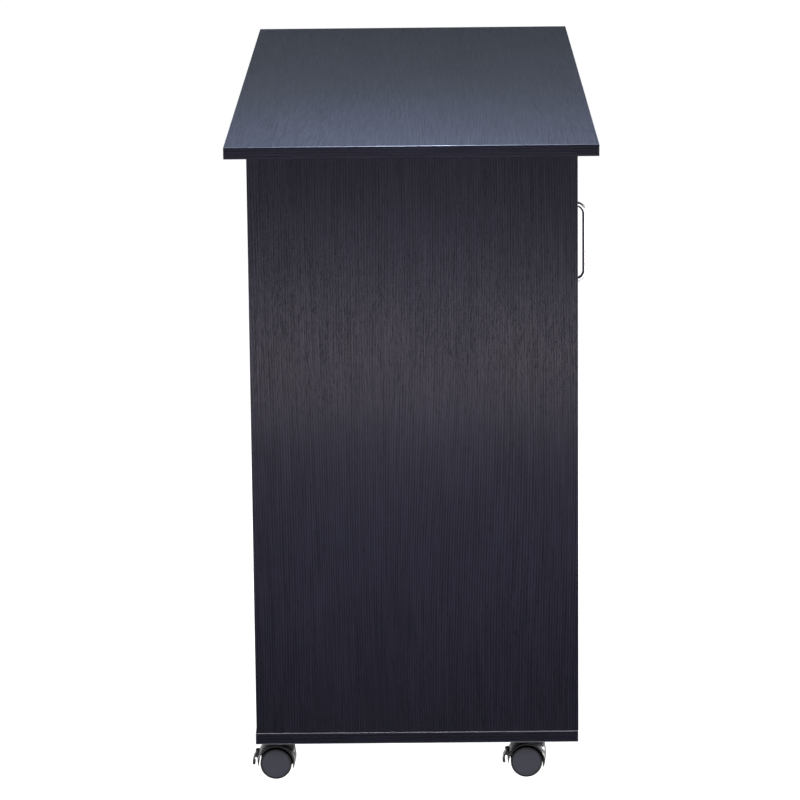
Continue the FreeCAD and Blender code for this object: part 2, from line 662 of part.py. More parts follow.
def make_hood(name, braked):
    """The arch over the wheels, the web between them and the socket of the swivel pin."""
    wide = of("[wheel_outer_face]")
    wider = of(wide + " + 1")
    reach = of("2 * " + HOOD_OUTER)
    ring = cut(f"{name}_ring", across(f"{name}_dome", HOOD_OUTER, wide), [
        across(f"{name}_well", HOOD_INNER, wider),
        centred_box(f"{name}_below_rear", wider, (AXLE_Y, "-" + reach),
                    (of(f"{AXLE_Y} + {reach}"), of(AXLE_Z + " - [hood_rear_drop]"))),
        centred_box(f"{name}_below_front", wider, (of(f"{AXLE_Y} - {reach}"), "-" + reach),
                    (AXLE_Y, of(AXLE_Z + " - [hood_front_drop]"))),
    ])
    web = doc.addObject("Part::MultiCommon", f"{name}_web")
    web.Shapes = [
        across(f"{name}_web_disc", of(f"({HOOD_OUTER} + {HOOD_INNER}) / 2"),
               of("[web_half_thickness]")),
        centred_box(f"{name}_web_block", of("[web_half_thickness]"),
                    ("0", of(AXLE_Z + " - [web_drop]")),
                    (of(AXLE_Y + " + [web_tail]"), of(f"{AXLE_Z} + {reach}"))),
    ]
    taper_low = of(f"{SOCKET_TOP} - [kingpin_length] - [socket_taper_height]")
    taper = doc.addObject("Part::Cone", f"{name}_taper")
    bind(taper, {
        "Radius1": of("[socket_tip_radius]"),
        "Radius2": of("[socket_radius]"),
        "Height": of("[socket_taper_height]"),
    })
    place(taper, ("0", "0", taper_low))
    barrel_low = of(taper_low + " + [socket_taper_height]")
    barrel = rod(f"{name}_barrel", "Z", ("0", "0", barrel_low), of("[socket_radius]"),
                 of(f"{SOCKET_TOP} - {barrel_low}"))
    socket = fuse(f"{name}_socket_blank", [barrel, taper])
    room = []
    for side, sign in (("left", "-1"), ("right", "1")):
        start_x = of("[wheel_inner_face] - [wheel_side_play]")
        if sign == "-1":
            start_x = of(f"-({start_x}) - [wheel_outer_face]")
        room.append(
            rod(f"{name}_{side}_room", "X", (start_x, AXLE_Y, AXLE_Z),
                HOOD_INNER, of("[wheel_outer_face]")))
    solids = [ring, web, cut(f"{name}_socket", socket, room)]
    tools = [
        across(f"{name}_axle_hole", of("[axle_radius] + [running_clearance]"), wide),
        rod(f"{name}_pin_hole", "Z", ("0", "0", of(SOCKET_TOP + " - [kingpin_length]")),
            of("[kingpin_radius] + [running_clearance]"), of("[kingpin_length] + 1")),
    ]
    if braked:
        slot_half = of("[lever_half_width] + [lever_side_play]")
        ears = cut(f"{name}_ears",
                   across(f"{name}_ear_bar", of("[ear_radius]"),
                          of(slot_half + " + [ear_thickness]"), *PIVOT),
                   [across(f"{name}_ear_well", HOOD_INNER, wide)])
        solids.append(ears)
        tools.append(across(f"{name}_slot", of("[lever_slot_radius]"), slot_half, *PIVOT))
        tools.append(
            across(f"{name}_ear_hole", of("[lever_pin_radius] + [running_clearance]"),
                   of("[lever_half_width] + [lever_pin_length] + [end_play]"), *PIVOT))
    return cut(f"{name}_hood", fuse(f"{name}_hood_blank", solids), tools)


def make_wheels(name):
    """A turned wheel and its mirror image, each with a blind bore for the axle."""
    body = doc.addObject("PartDesign::Body", f"{name}_wheel")
    hub_face = of("[web_half_thickness] + [wheel_side_play]")
    bore = of("[axle_radius]")
    sketch = outline(body, f"{name}_wheel_profile", "XY_Plane", [
        (hub_face, bore),
        (hub_face, of("[wheel_hub_radius]")),
        (of("[wheel_inner_face]"), of("[wheel_hub_radius]")),
        (of("[wheel_inner_face]"), of("[wheel_radius] - [wheel_chamfer]")),
        (of("[wheel_inner_face] + [wheel_chamfer]"), of("[wheel_radius]")),
        (of("[wheel_outer_face] - [wheel_chamfer]"), of("[wheel_radius]")),
        (of("[wheel_outer_face]"), of("[wheel_radius] - [wheel_chamfer]")),
        (of("[wheel_outer_face]"), "0"),
        (of("[axle_half_length]"), "0"),
        (of("[axle_half_length]"), bore),
    ])
    turning = body.newObject("PartDesign::Revolution", f"{name}_wheel_turning")
    turning.Profile = sketch
    turning.ReferenceAxis = (sketch, ["H_Axis"])
    turning.Angle = 360
    place(body, ("0", AXLE_Y, AXLE_Z))
    mirrored = doc.addObject("Part::Mirroring", f"{name}_wheel_mirrored")
    mirrored.Source = body
    mirrored.Normal = FreeCAD.Vector(1, 0, 0)
    return group(f"{name}_wheels", [body, mirrored])


def make_lever(name):
    """A round knob on stub pins, a curved arm with a rounded toe, and a short brake shoe."""
    half_width = of("[lever_half_width]")
    knob = across(f"{name}_knob", of("[lever_knob_radius]"), half_width, *PIVOT)
    pins = across(f"{name}_stub_pins", of("[lever_pin_radius]"),
                  of(half_width + " + [lever_pin_length]"), *PIVOT)
    toe_spot = (of(PIVOT[0] + " + [lever_toe_reach]"), of(PIVOT[1] + " - [lever_toe_drop]"))
    toe = across(f"{name}_toe", of("[lever_tip_radius]"), half_width, *toe_spot)
    shoe_half = of("[shoe_thickness] / 2")
    shoe = centred_box(
        f"{name}_shoe", half_width,
        (of(f"{PIVOT[0]} - [shoe_length]"), of(f"{PIVOT[1]} - {shoe_half}")),
        (PIVOT[0], of(f"{PIVOT[1]} + {shoe_half}")))

    # The arm is an arc from the pivot to the toe, bulging away from the hood, of even thickness.
    start = FreeCAD.Vector(0, number(PIVOT[0]), number(PIVOT[1]))
    end = FreeCAD.Vector(0, number(toe_spot[0]), number(toe_spot[1]))
    chord = end - start
    outward = FreeCAD.Vector(0, -chord.z, chord.y).normalize()
    bulge = number(of("[lever_bulge]"))
    radius = (chord.Length ** 2 / 4 + bulge ** 2) / (2 * bulge)
    middle = (start + end) * 0.5
    centre = middle + outward * (bulge - radius)
    crown = middle + outward * bulge
    half_thickness = number(of("[lever_thickness]")) / 2

    def at(point, grow):
        return centre + (point - centre).normalize() * (radius + grow)

    outer_points = [at(point, half_thickness) for point in (start, crown, end)]
    inner_points = [at(point, -half_thickness) for point in (end, crown, start)]
    rim = Part.Wire([
        Part.Arc(*outer_points).toShape(),
        Part.LineSegment(outer_points[-1], inner_points[0]).toShape(),
        Part.Arc(*inner_points).toShape(),
        Part.LineSegment(inner_points[-1], outer_points[0]).toShape(),
    ])
    width = 2 * number(half_width)
    arm = doc.addObject("Part::Feature", f"{name}_arm")
    arm.Shape = Part.Face(rim).extrude(FreeCAD.Vector(width, 0, 0))
    arm.Placement = FreeCAD.Placement(FreeCAD.Vector(-width / 2, 0, 0), FreeCAD.Rotation())
    return fuse(f"{name}_lever", [knob, pins, toe, shoe, arm])


def make_plate(name):
    """A mounting plate with its swivel pin, its four screws, and the holes for them."""
    half = of("[caster_plate_side] / 2")
    minus_half = of("-" + half)
    blank = box(f"{name}_plate_blank", (minus_half, minus_half, PLATE_UNDER),
                (half, half, BASE_UNDER))
    kingpin = rod(f"{name}_kingpin", "Z",
                  ("0", "0", of(f"{SOCKET_TOP} - [kingpin_length] + [end_play]")),
                  of("[kingpin_radius]"), of("[kingpin_length]"))
    screws = []
    plate_holes = []
    board_holes = []
    for index, (x_sign, y_sign) in enumerate(((-1, -1), (-1, 1), (1, -1), (1, 1))):
        x = of(f"{x_sign} * [plate_screw_spacing] / 2")
        y = of(f"{y_sign} * [plate_screw_spacing] / 2")
        radius = of("[plate_screw_radius]")
        tag = f"{name}_plate_screw_{index}"
        shank = rod(f"{tag}_shank", "Z", (x, y, PLATE_UNDER), radius, of("[plate_screw_length]"))
        head = rod(f"{tag}_head", "Z", (x, y, of(PLATE_UNDER + " - [plate_screw_head_height]")),
                   of("[plate_screw_head_radius]"), of("[plate_screw_head_height]"))
        screws.append(fuse(tag, [shank, head]))
        plate_holes.append(
            rod(f"{tag}_plate_hole", "Z", (x, y, PLATE_UNDER), of(radius + " + [screw_hole_play]"),
                of("[caster_plate_thickness]")))
        board_holes.append(
            rod(f"{tag}_board_hole", "Z", (x, y, BASE_UNDER), radius,
                of("[plate_screw_length] - [caster_plate_thickness]")))
    plate = fuse(f"{name}_plate", [cut(f"{name}_drilled_plate", blank, plate_holes), kingpin])
    return plate, group(f"{name}_plate_screws", screws), group(f"{name}_board_holes", board_holes)


plates = []
plate_screws = []
for end_name, x_sign in ENDS.items():
    for row_name in ROWS:
        caster = f"{end_name}_{row_name}"
        swivel_x = of(f"{x_sign} * ({OUTER_RIGHT} - [caster_end_inset])")
        if row_name == "front":
            swivel_y = of(FRONT + " + [caster_front_inset]")
        else:
            swivel_y = of(BASE_REAR + " - [caster_rear_inset]")
        has_brake = end_name == BRAKED_END
        plate, screws, board_holes = make_plate(caster)
        axle = across(f"{caster}_axle", of("[axle_radius]"), of("[axle_half_length]"))
        turning_pieces = {
            f"{caster}_caster_hood": make_hood(caster, has_brake),
            f"{caster}_caster_wheels": make_wheels(caster),
            f"{caster}_caster_axle": group(f"{caster}_axle_group", [axle]),
        }
        if has_brake:
            turning_pieces[f"{caster}_brake_lever"] = make_lever(caster)
        for thing in (plate, screws, board_holes, *turning_pieces.values()):
            place(thing, (swivel_x, swivel_y, "0"))
        for label, thing in turning_pieces.items():
            finish(thing, label)
        plates.append(plate)
        plate_screws.append(screws)
        holes["base_board"].append(board_holes)
finish(group("caster_plates", plates), "caster_plates")
finish(group("caster_screws", plate_screws), "caster_screws")


# ------------------------------------------------------------------ boards

edge = "[edging_thickness]"
core_high = (of(f"[worktop_length] / 2 - {edge}"), of(f"[worktop_depth] / 2 - {edge}"), WORKTOP_TOP)
core_low = (of("-" + core_high[0]), of("-" + core_high[1]), WORKTOP_UNDER)
rim_high = (of("[worktop_length] / 2"), of("[worktop_depth] / 2"), WORKTOP_TOP)
rim_low = (of("-" + rim_high[0]), of("-" + rim_high[1]), WORKTOP_UNDER)
finish(cut("worktop", box("worktop_board", core_low, core_high), holes["worktop"]), "worktop")
finish(
    cut("worktop_edging", box("edging_outside", rim_low, rim_high),
        [box("edging_inside", core_low, core_high)]),
    "worktop_edging")

back_side = of(INNER_RIGHT + " + [groove_depth] - [groove_play]")
back_low = (of("-" + back_side), BACK_FRONT, of(BASE_TOP + " - [groove_depth] + [groove_play]"))
back_high = (back_side, BACK_REAR, of(WORKTOP_UNDER + " - [groove_play]"))
finish(box("back_panel", back_low, back_high), "back_panel")


def back_room(name):
    """The room that the back panel takes, with its play, as a tool."""
    low = tuple(of(value + " - [groove_play]") for value in back_low)
    high = tuple(of(value + " + [groove_play]") for value in back_high)
    return box(f"{name}_back_room", low, high)


for name, (left, right, rear, _) in UPRIGHTS.items():
    board = box(f"{name}_board", (left, FRONT, BASE_TOP), (right, rear, WORKTOP_UNDER))
    grooves = [back_room(name)] if name.endswith("side_panel") else []
    finish(cut(name, board, holes[name] + grooves), name)

base = box("base_blank", (OUTER_LEFT, FRONT, BASE_UNDER), (OUTER_RIGHT, BASE_REAR, BASE_TOP))
finish(cut("base_board", base, holes["base_board"] + [back_room("base")]), "base_board")

for bay in DRAWERS:
    label = f"{bay}_drawer_divider"
    left, right = BAYS[bay]
    board = box(f"{label}_board", (left, FRONT, DIVIDER_UNDER), (right, INNER_REAR, DIVIDER_TOP))
    finish(cut(label, board, holes[label]), label)


# ------------------------------------------------------------------ checks and export

doc.recompute()
for thing in doc.Objects:
    faults = {"Invalid", "Error"} & set(thing.State)
    if faults:
        raise RuntimeError(f"{thing.Name} is {faults}")
for thing in sub_parts:
    if thing.Shape.isNull() or not thing.Shape.isValid() or not thing.Shape.Solids:
        raise RuntimeError(f"{thing.Label} has no valid shape")

os.makedirs(PARTS_FOLDER, exist_ok=True)
for thing in sub_parts:
    thing.Shape.exportStep(os.path.join(PARTS_FOLDER, thing.Label + ".step"))
    print(f"{thing.Label}: {len(thing.Shape.Solids)} solids, {thing.Shape.Volume / 1000:.1f} cm3")
print(f"{len(sub_parts)} sub-parts")
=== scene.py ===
"""The looks of a rolling kitchen island cart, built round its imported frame.

Metres. X runs along the worktop, the front looks towards -Y and Z is up.
"""

import functools
import json
import logging
import math
from collections.abc import Callable, Iterable, Sequence
from dataclasses import dataclass
from enum import Enum
from typing import Union

import bmesh
import bpy
import numpy as np
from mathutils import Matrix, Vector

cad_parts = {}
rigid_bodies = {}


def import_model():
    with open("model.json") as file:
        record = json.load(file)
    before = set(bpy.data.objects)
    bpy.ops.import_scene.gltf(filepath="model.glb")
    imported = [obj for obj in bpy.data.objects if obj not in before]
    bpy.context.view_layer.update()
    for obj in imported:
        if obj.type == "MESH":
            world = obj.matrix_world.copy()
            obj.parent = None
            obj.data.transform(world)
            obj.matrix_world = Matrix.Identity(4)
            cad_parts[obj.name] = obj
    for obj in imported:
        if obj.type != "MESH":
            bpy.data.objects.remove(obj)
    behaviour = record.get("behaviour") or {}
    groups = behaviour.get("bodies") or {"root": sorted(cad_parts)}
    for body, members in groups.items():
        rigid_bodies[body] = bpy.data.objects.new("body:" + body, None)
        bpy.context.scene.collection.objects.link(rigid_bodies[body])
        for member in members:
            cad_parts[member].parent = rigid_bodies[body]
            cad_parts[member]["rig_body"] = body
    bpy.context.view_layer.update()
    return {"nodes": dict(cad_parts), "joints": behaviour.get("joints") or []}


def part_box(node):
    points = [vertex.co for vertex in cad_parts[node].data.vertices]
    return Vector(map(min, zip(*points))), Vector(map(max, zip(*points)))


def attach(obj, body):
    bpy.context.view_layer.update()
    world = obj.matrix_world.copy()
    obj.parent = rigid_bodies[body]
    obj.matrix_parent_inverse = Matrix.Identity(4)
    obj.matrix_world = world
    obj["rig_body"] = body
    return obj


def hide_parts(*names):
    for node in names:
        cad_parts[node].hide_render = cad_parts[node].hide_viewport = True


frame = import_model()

import openvdb
from mathutils import Matrix, Vector

MM = 0.001
SAME_PLACE = 0.001 * MM
FLUSH = 0.02 * MM
SQUARE = 0.999
SHARP_ANGLE = math.radians(40)
GRAIN_MAP = "Grain"
LOG = logging.getLogger("cart")

Colour = tuple[float, float, float]
Point = tuple[float, float, float]
Value = Union[float, Sequence[float], "Field"]


class Axis(Enum):
    """An axis of the frame; its value is its place in a point."""

    X = 0
    Y = 1
    Z = 2

    @property
    def others(self) -> tuple["Axis", "Axis"]:
        """The two axes across this one, in order."""
        return tuple(axis for axis in Axis if axis is not self)


# ------------------------------------------------------------------ shader nodes


class Field:
    """One output socket of a material, with Python's arithmetic where it carries a number."""

    def __init__(self, tree: "ShaderTree", socket: bpy.types.NodeSocket) -> None:
        """Wraps an output socket of a node in this tree."""
        self.tree = tree
        self.socket = socket

    def _math(self, operation: str, *values: Value) -> "Field":
        """Adds a Math node that works on these values."""
        return self.tree.node("ShaderNodeMath", {"operation": operation}, dict(enumerate(values)))

    def __add__(self, other: Value) -> "Field":
        """This plus other."""
        return self._math("ADD", self, other)

    def __radd__(self, other: Value) -> "Field":
        """Other plus this."""
        return self._math("ADD", other, self)

    def __sub__(self, other: Value) -> "Field":
        """This less other."""
        return self._math("SUBTRACT", self, other)

    def __mul__(self, other: Value) -> "Field":
        """This times other."""
        return self._math("MULTIPLY", self, other)

    def __rmul__(self, other: Value) -> "Field":
        """Other times this."""
        return self._math("MULTIPLY", other, self)

    def wave(self) -> "Field":
        """The sine of this, moved to run from 0 to 1."""
        return 0.5 + 0.5 * self._math("SINE", self)

    def spread(self, low: float, high: float) -> "Field":
        """This moved so that low becomes 0 and high becomes 1, and held between them."""
        return self.tree.node(
            "ShaderNodeMapRange", {"clamp": True}, {"Value": self, "From Min": low, "From Max": high}
        )


class ShaderTree:
    """The nodes of one material."""

    def __init__(self, name: str) -> None:
        """Makes an empty material.

        Args:
            name: the material's name.
        """
        self.material = bpy.data.materials.new(name)
        self.material.use_nodes = True
        self.tree = self.material.node_tree
        self.tree.nodes.clear()

    def node(
        self,
        kind: str,
        settings: dict[str, object] | None = None,
        values: dict[str | int, Value] | None = None,
        output: str | int = 0,
    ) -> Field:
        """Adds a node.

        Args:
            kind: the node's type.
            settings: its properties, set first; "stops" are a ramp's (position, colour) pairs.
            values: what its input sockets hold or are linked to.
            output: the output socket to give back.

        Returns:
            That output.
        """
        made = self.tree.nodes.new(kind)
        for name, setting in (settings or {}).items():
            if name == "stops":
                ramp = made.color_ramp.elements
                while len(ramp) < len(setting):
                    ramp.new(1.0)
                for stop, (position, colour) in zip(ramp, setting):
                    stop.position = position
                    stop.color = (*colour, 1.0)
            else:
                setattr(made, name, setting)
        for key, value in (values or {}).items():
            socket = made.inputs[key]
            if isinstance(value, Field):
                self.tree.links.new(value.socket, socket)
            elif socket.type == "RGBA":
                socket.default_value = (*value, 1.0)
            else:
                socket.default_value = value
        return Field(self, made.outputs[output])

    def spot(self) -> Field:
        """Where the shaded point lies in its object."""
        return self.node("ShaderNodeTexCoord", output="Object")

    def grain_spot(self) -> Field:
        """Where the shaded point lies on the board's own map: across the grain, then along it."""
        return self.node("ShaderNodeUVMap", {"uv_map": GRAIN_MAP})

    def split(self, vector: Field) -> tuple[Field, Field, Field]:
        """The three numbers of a vector."""
        first = self.node("ShaderNodeSeparateXYZ", None, {0: vector})
        sockets = first.socket.node.outputs
        return tuple(Field(self, socket) for socket in sockets)

    def joined(self, x: Value, y: Value, z: Value) -> Field:
        """A vector of three numbers."""
        return self.node("ShaderNodeCombineXYZ", None, {0: x, 1: y, 2: z})

    def scaled(self, vector: Field, factors: Point) -> Field:
        """A vector times three factors, one for each axis."""
        return self.node(
            "ShaderNodeVectorMath", {"operation": "MULTIPLY"}, {0: vector, 1: factors}
        )

    def noise(self, vector: Field, detail: float = 2.0, roughness: float = 0.5) -> Field:
        """Smooth noise about 0.5 whose features are about one unit of the vector wide."""
        return self.node(
            "ShaderNodeTexNoise",
            {"noise_dimensions": "3D"},
            {"Vector": vector, "Scale": 1.0, "Detail": detail, "Roughness": roughness},
        )

    def mix(self, share: Value, first: Value, second: Value) -> Field:
        """A colour between two: the first at share 0, the second at share 1."""
        return self.node(
            "ShaderNodeMix", {"data_type": "RGBA"}, {0: share, 6: first, 7: second}, output=2
        )

    def bump(self, height: Field, depth: float) -> Field:
        """A normal that follows a height of 0 to 1, depth metres deep."""
        return self.node(
            "ShaderNodeBump", None, {"Height": height, "Distance": depth, "Strength": 1.0}
        )

    def streaks(
        self,
        across: Field,
        along: Field,
        per_metre: tuple[float, float],
        seed: float,
        detail: float = 2.0,
        roughness: float = 0.5,
    ) -> Field:
        """Noise that is drawn out along the grain.

        Args:
            across: the place across the grain.
            along: the place along it.
            per_metre: how many features lie in a metre, across the grain and along it.
            seed: tells one such noise from another.
            detail: how many finer noises are added to it.
            roughness: how strong those are.

        Returns:
            Noise about 0.5.
        """
        spot = self.joined(across * per_metre[0], along * per_metre[1], seed)
        return self.noise(spot, detail, roughness)

    def coat(self, values: dict[str | int, Value]) -> None:
        """Ends the tree in one Principled shader with these values."""
        shader = self.node("ShaderNodeBsdfPrincipled", None, values)
        end = self.tree.nodes.new("ShaderNodeOutputMaterial")
        self.tree.links.new(shader.socket, end.inputs["Surface"])


# ------------------------------------------------------------------ finishes


@dataclass(frozen=True)
class Finish:
    """A finish. Its material is made once, when it is first asked for."""

    name: str

    @functools.cache
    def material(self) -> bpy.types.Material:
        """The finish's material."""
        tree = ShaderTree(self.name)
        self.paint(tree)
        return tree.material

    def paint(self, tree: ShaderTree) -> None:
        """Adds the finish's nodes to its tree.

        Args:
            tree: the empty tree of its material.
        """
        raise NotImplementedError


@dataclass(frozen=True)
class WoodGrainFilm(Finish):
    """Black film on a board, printed and embossed with wood grain along V of the grain map.

    The growth lines are noise drawn out along the grain. They are moved sideways by slower noise,
    so that they sway and close into long arches. Short pores lie between them.
    """

    dark: Colour = (0.0014, 0.0016, 0.0033)
    light: Colour = (0.0078, 0.0080, 0.0138)
    line_width: float = 1.35 * MM
    line_length: float = 90 * MM
    sway: float = 12 * MM
    figure: float = 52 * MM
    ring: float = 3.3 * MM
    emboss: float = 0.12 * MM
    roughness: float = 0.38
    specular: float = 0.038
    pore_width: float = 0.35 * MM
    pore_length: float = 9 * MM
    pore_depth: float = 0.55
    sways_per_metre: tuple[float, float] = (9.0, 1.5)
    arches_per_metre: tuple[float, float] = (3.4, 0.75)
    patches_per_metre: tuple[float, float] = (5.0, 3.0)
    line_share: float = 0.42
    ring_share: float = 0.42
    patch_share: float = 0.16

    def paint(self, tree: ShaderTree) -> None:
        """Lines, arches and pores, which set the colour, the roughness and the relief."""
        across, along, _ = tree.split(tree.grain_spot())
        slow = tree.streaks(across, along, self.sways_per_metre, seed=3.1) - 0.5
        heart = tree.streaks(across, along, self.arches_per_metre, seed=8.7, detail=1.0) - 0.5
        moved = across + slow * self.sway + heart * self.figure
        lines_per_metre = (1 / self.line_width, 1 / self.line_length)
        lines = tree.streaks(moved, along, lines_per_metre, seed=1.7, roughness=0.6).spread(0.3, 0.7)
        rings = (moved * (math.tau / self.ring) + slow * 5.0).wave()
        pores_per_metre = (1 / self.pore_width, 1 / self.pore_length)
        pores = tree.streaks(moved, along, pores_per_metre, seed=5.5, detail=1.0).spread(0.56, 0.72)
        patches = tree.streaks(across, along, self.patches_per_metre, seed=12.0, detail=3.0)
        patches = patches.spread(0.3, 0.7)
        tone = lines * self.line_share + rings * self.ring_share + patches * self.patch_share
        relief = tone - pores * self.pore_depth
        tree.coat({
            "Base Color": tree.mix(relief.spread(0.1, 0.85), self.dark, self.light),
            "Roughness": self.roughness + 0.10 * patches - 0.10 * lines,
            "Specular IOR Level": self.specular,
            "Normal": tree.bump(relief, self.emboss),
        })


@dataclass(frozen=True)
class Chipboard(Finish):
    """The raw core of a board: glued chips of light wood, seen in its holes and grooves."""

    dark: Colour = (0.20, 0.12, 0.06)
    light: Colour = (0.52, 0.38, 0.23)
    chip: float = 1.6 * MM

    def paint(self, tree: ShaderTree) -> None:
        """Cells of different tone and height with fine fibres in them."""
        spot = tree.scaled(tree.spot(), (1 / self.chip,) * 3)
        chips = tree.node("ShaderNodeTexVoronoi", None, {"Vector": spot, "Scale": 1.0}, "Color")
        tone, height, _ = tree.split(chips)
        fibres = tree.noise(tree.scaled(spot, (6.0, 2.0, 6.0)), detail=3.0)
        tree.coat({
            "Base Color": tree.mix(0.7 * tone + 0.3 * fibres, self.dark, self.light),
            "Roughness": 0.85,
            "Specular IOR Level": 0.2,
            "Normal": tree.bump(0.6 * height + 0.4 * fibres, 0.15 * MM),
        })


@dataclass(frozen=True)
class Hardboard(Finish):
    """Thin fibreboard with a black printed face, slightly mottled."""

    dark: Colour = (0.004, 0.004, 0.006)
    light: Colour = (0.012, 0.0115, 0.016)

    def paint(self, tree: ShaderTree) -> None:
        """Fine fibres over slow mottling."""
        across, along, _ = tree.split(tree.grain_spot())
        lines = tree.streaks(across, along, (620.0, 12.0), seed=2.0, detail=3.0).spread(0.3, 0.7)
        cloud = tree.streaks(across, along, (9.0, 7.0), seed=5.0, detail=4.0).spread(0.3, 0.7)
        grit = tree.noise(tree.scaled(tree.spot(), (2200.0,) * 3), detail=2.0)
        tone = 0.5 * lines + 0.3 * cloud + 0.2 * grit
        tree.coat({
            "Base Color": tree.mix(tone, self.dark, self.light),
            "Roughness": 0.42 + 0.12 * cloud,
            "Specular IOR Level": 0.1,
            "Normal": tree.bump(0.6 * lines + 0.4 * grit, 0.05 * MM),
        })


@dataclass(frozen=True)
class Metal(Finish):
    """Plated or brushed metal: fine streaks, small pits and slow clouds in its gloss."""

    tint: Colour = (0.72, 0.71, 0.69)
    wear_and_painted_highlight: Colour = (0.55, 0.54, 0.53)
    roughness: float = 0.22
    streak: Point = (900.0, 900.0, 900.0)
    depth: float = 0.012 * MM

    def paint(self, tree: ShaderTree) -> None:
        """Streaks and clouds in colour, gloss and relief."""
        spot = tree.spot()
        streaks = tree.noise(tree.scaled(spot, self.streak), detail=3.0).spread(0.25, 0.75)
        clouds = tree.noise(tree.scaled(spot, (70.0,) * 3), detail=3.0).spread(0.3, 0.7)
        tree.coat({
            "Base Color": tree.mix(0.6 * streaks + 0.4 * clouds, self.wear_and_painted_highlight, self.tint),
            "Metallic": 1.0,
            "Roughness": self.roughness + 0.08 * streaks + 0.05 * clouds,
            "Normal": tree.bump(streaks, self.depth),
        })


@dataclass(frozen=True)
class BareWood(Finish):
    """Raw beech: pale, with short dark rays and fine fibre."""

    dark: Colour = (0.42, 0.25, 0.13)
    light: Colour = (0.66, 0.47, 0.29)

    def paint(self, tree: ShaderTree) -> None:
        """Fibres along Z with short rays."""
        spot = tree.spot()
        fibre = tree.noise(tree.scaled(spot, (900.0, 900.0, 60.0)), detail=3.0).spread(0.3, 0.7)
        rays = tree.noise(tree.scaled(spot, (1500.0, 1500.0, 260.0)), detail=1.0).spread(0.58, 0.7)
        tree.coat({
            "Base Color": tree.mix(fibre - 0.5 * rays, self.dark, self.light),
            "Roughness": 0.7,
            "Normal": tree.bump(fibre, 0.06 * MM),
        })


@dataclass(frozen=True)
class MouldedPlastic(Finish):
    """Moulded plastic: a fine eroded texture from the tool, faint flow marks and rubbed spots."""

    dark: Colour = (0.022, 0.022, 0.024)
    light: Colour = (0.032, 0.032, 0.035)
    roughness: float = 0.3
    specular: float = 0.5
    grain: float = 0.35 * MM
    depth: float = 0.012 * MM

    def paint(self, tree: ShaderTree) -> None:
        """Grain and clouds in colour, gloss and relief."""
        spot = tree.spot()
        grain = tree.noise(tree.scaled(spot, (1 / self.grain,) * 3), detail=2.0)
        flow = tree.noise(tree.scaled(spot, (60.0, 140.0, 90.0)), detail=3.0).spread(0.3, 0.7)
        rubbed = tree.noise(tree.scaled(spot, (260.0,) * 3), detail=4.0).spread(0.55, 0.75)
        tree.coat({
            "Base Color": tree.mix(0.5 * flow + 0.5 * rubbed, self.dark, self.light),
            "Roughness": self.roughness + 0.10 * flow - 0.08 * rubbed,
            "Specular IOR Level": self.specular,
            "Normal": tree.bump(grain, self.depth),
        })


@dataclass(frozen=True)
class PaleFloor(Finish):
    """A plain pale studio floor, lit through from below as a light table is."""

    tint: Colour = (0.35, 0.35, 0.35)
    glow: float = 1.0

    def paint(self, tree: ShaderTree) -> None:
        """An even surface with a constant glow."""
        tree.coat({
            "Base Color": self.tint,
            "Roughness": 0.9,
            "Specular IOR Level": 0.1,
            "Emission Color": (1.0, 1.0, 1.0),
            "Emission Strength": self.glow,
        })


FILM = WoodGrainFilm("board_film")
# A lighter copy of the board film for the worktop: painted light on its upward face.
TOP_FILM_PAINTED_LIGHT = WoodGrainFilm(
    "worktop_film_painted_light", (0.0060, 0.0058, 0.0100), (0.0300, 0.0292, 0.0400), specular=0.07
)
BAND = WoodGrainFilm(
    "edge_band", line_width=0.9 * MM, line_length=55 * MM, sway=3 * MM, figure=4 * MM, emboss=0.06 * MM
)
# A lighter, glossier copy of the film for rounded arrises; its lighter colour is a painted highlight.
ARRIS_PAINTED_HIGHLIGHT = WoodGrainFilm(
    "arris_painted_highlight", (0.045, 0.046, 0.056), (0.085, 0.088, 0.105), line_length=30 * MM, sway=2 * MM,
    figure=2 * MM, emboss=0.03 * MM, roughness=0.34, specular=0.45
)
CORE = Chipboard("chipboard_core")
PRINTED_SHEET = Hardboard("printed_hardboard")
SATIN_STEEL = Metal("satin_steel", (0.56, 0.56, 0.57), (0.44, 0.44, 0.45), roughness=0.3)
ZINC = Metal(
    "zinc_plating", (0.62, 0.63, 0.65), (0.42, 0.43, 0.46), roughness=0.28, streak=(500.0,) * 3
)
BEECH = BareWood("raw_beech")
NYLON = MouldedPlastic("black_nylon", roughness=0.42, grain=0.5 * MM)
HOOD_PLASTIC = MouldedPlastic(
    "caster_hood_plastic", (0.005, 0.005, 0.006), (0.011, 0.011, 0.013), roughness=0.3,
    specular=0.25,
)
# Near-black plastic of the wheels' treads; inside the hood's arch it is painted shade.
TREAD_AND_PAINTED_SHADE_PLASTIC = MouldedPlastic(
    "caster_tread_and_painted_shade_plastic", (0.003, 0.003, 0.004), (0.006, 0.006, 0.007), roughness=0.42,
    specular=0.2,
)
DISC_PLASTIC = MouldedPlastic(
    "caster_disc_plastic", (0.010, 0.0110, 0.020), (0.017, 0.0180, 0.029), roughness=0.4,
    specular=0.3,
)
FLOOR = PaleFloor("studio_floor")


# ------------------------------------------------------------------ surfaces and pieces


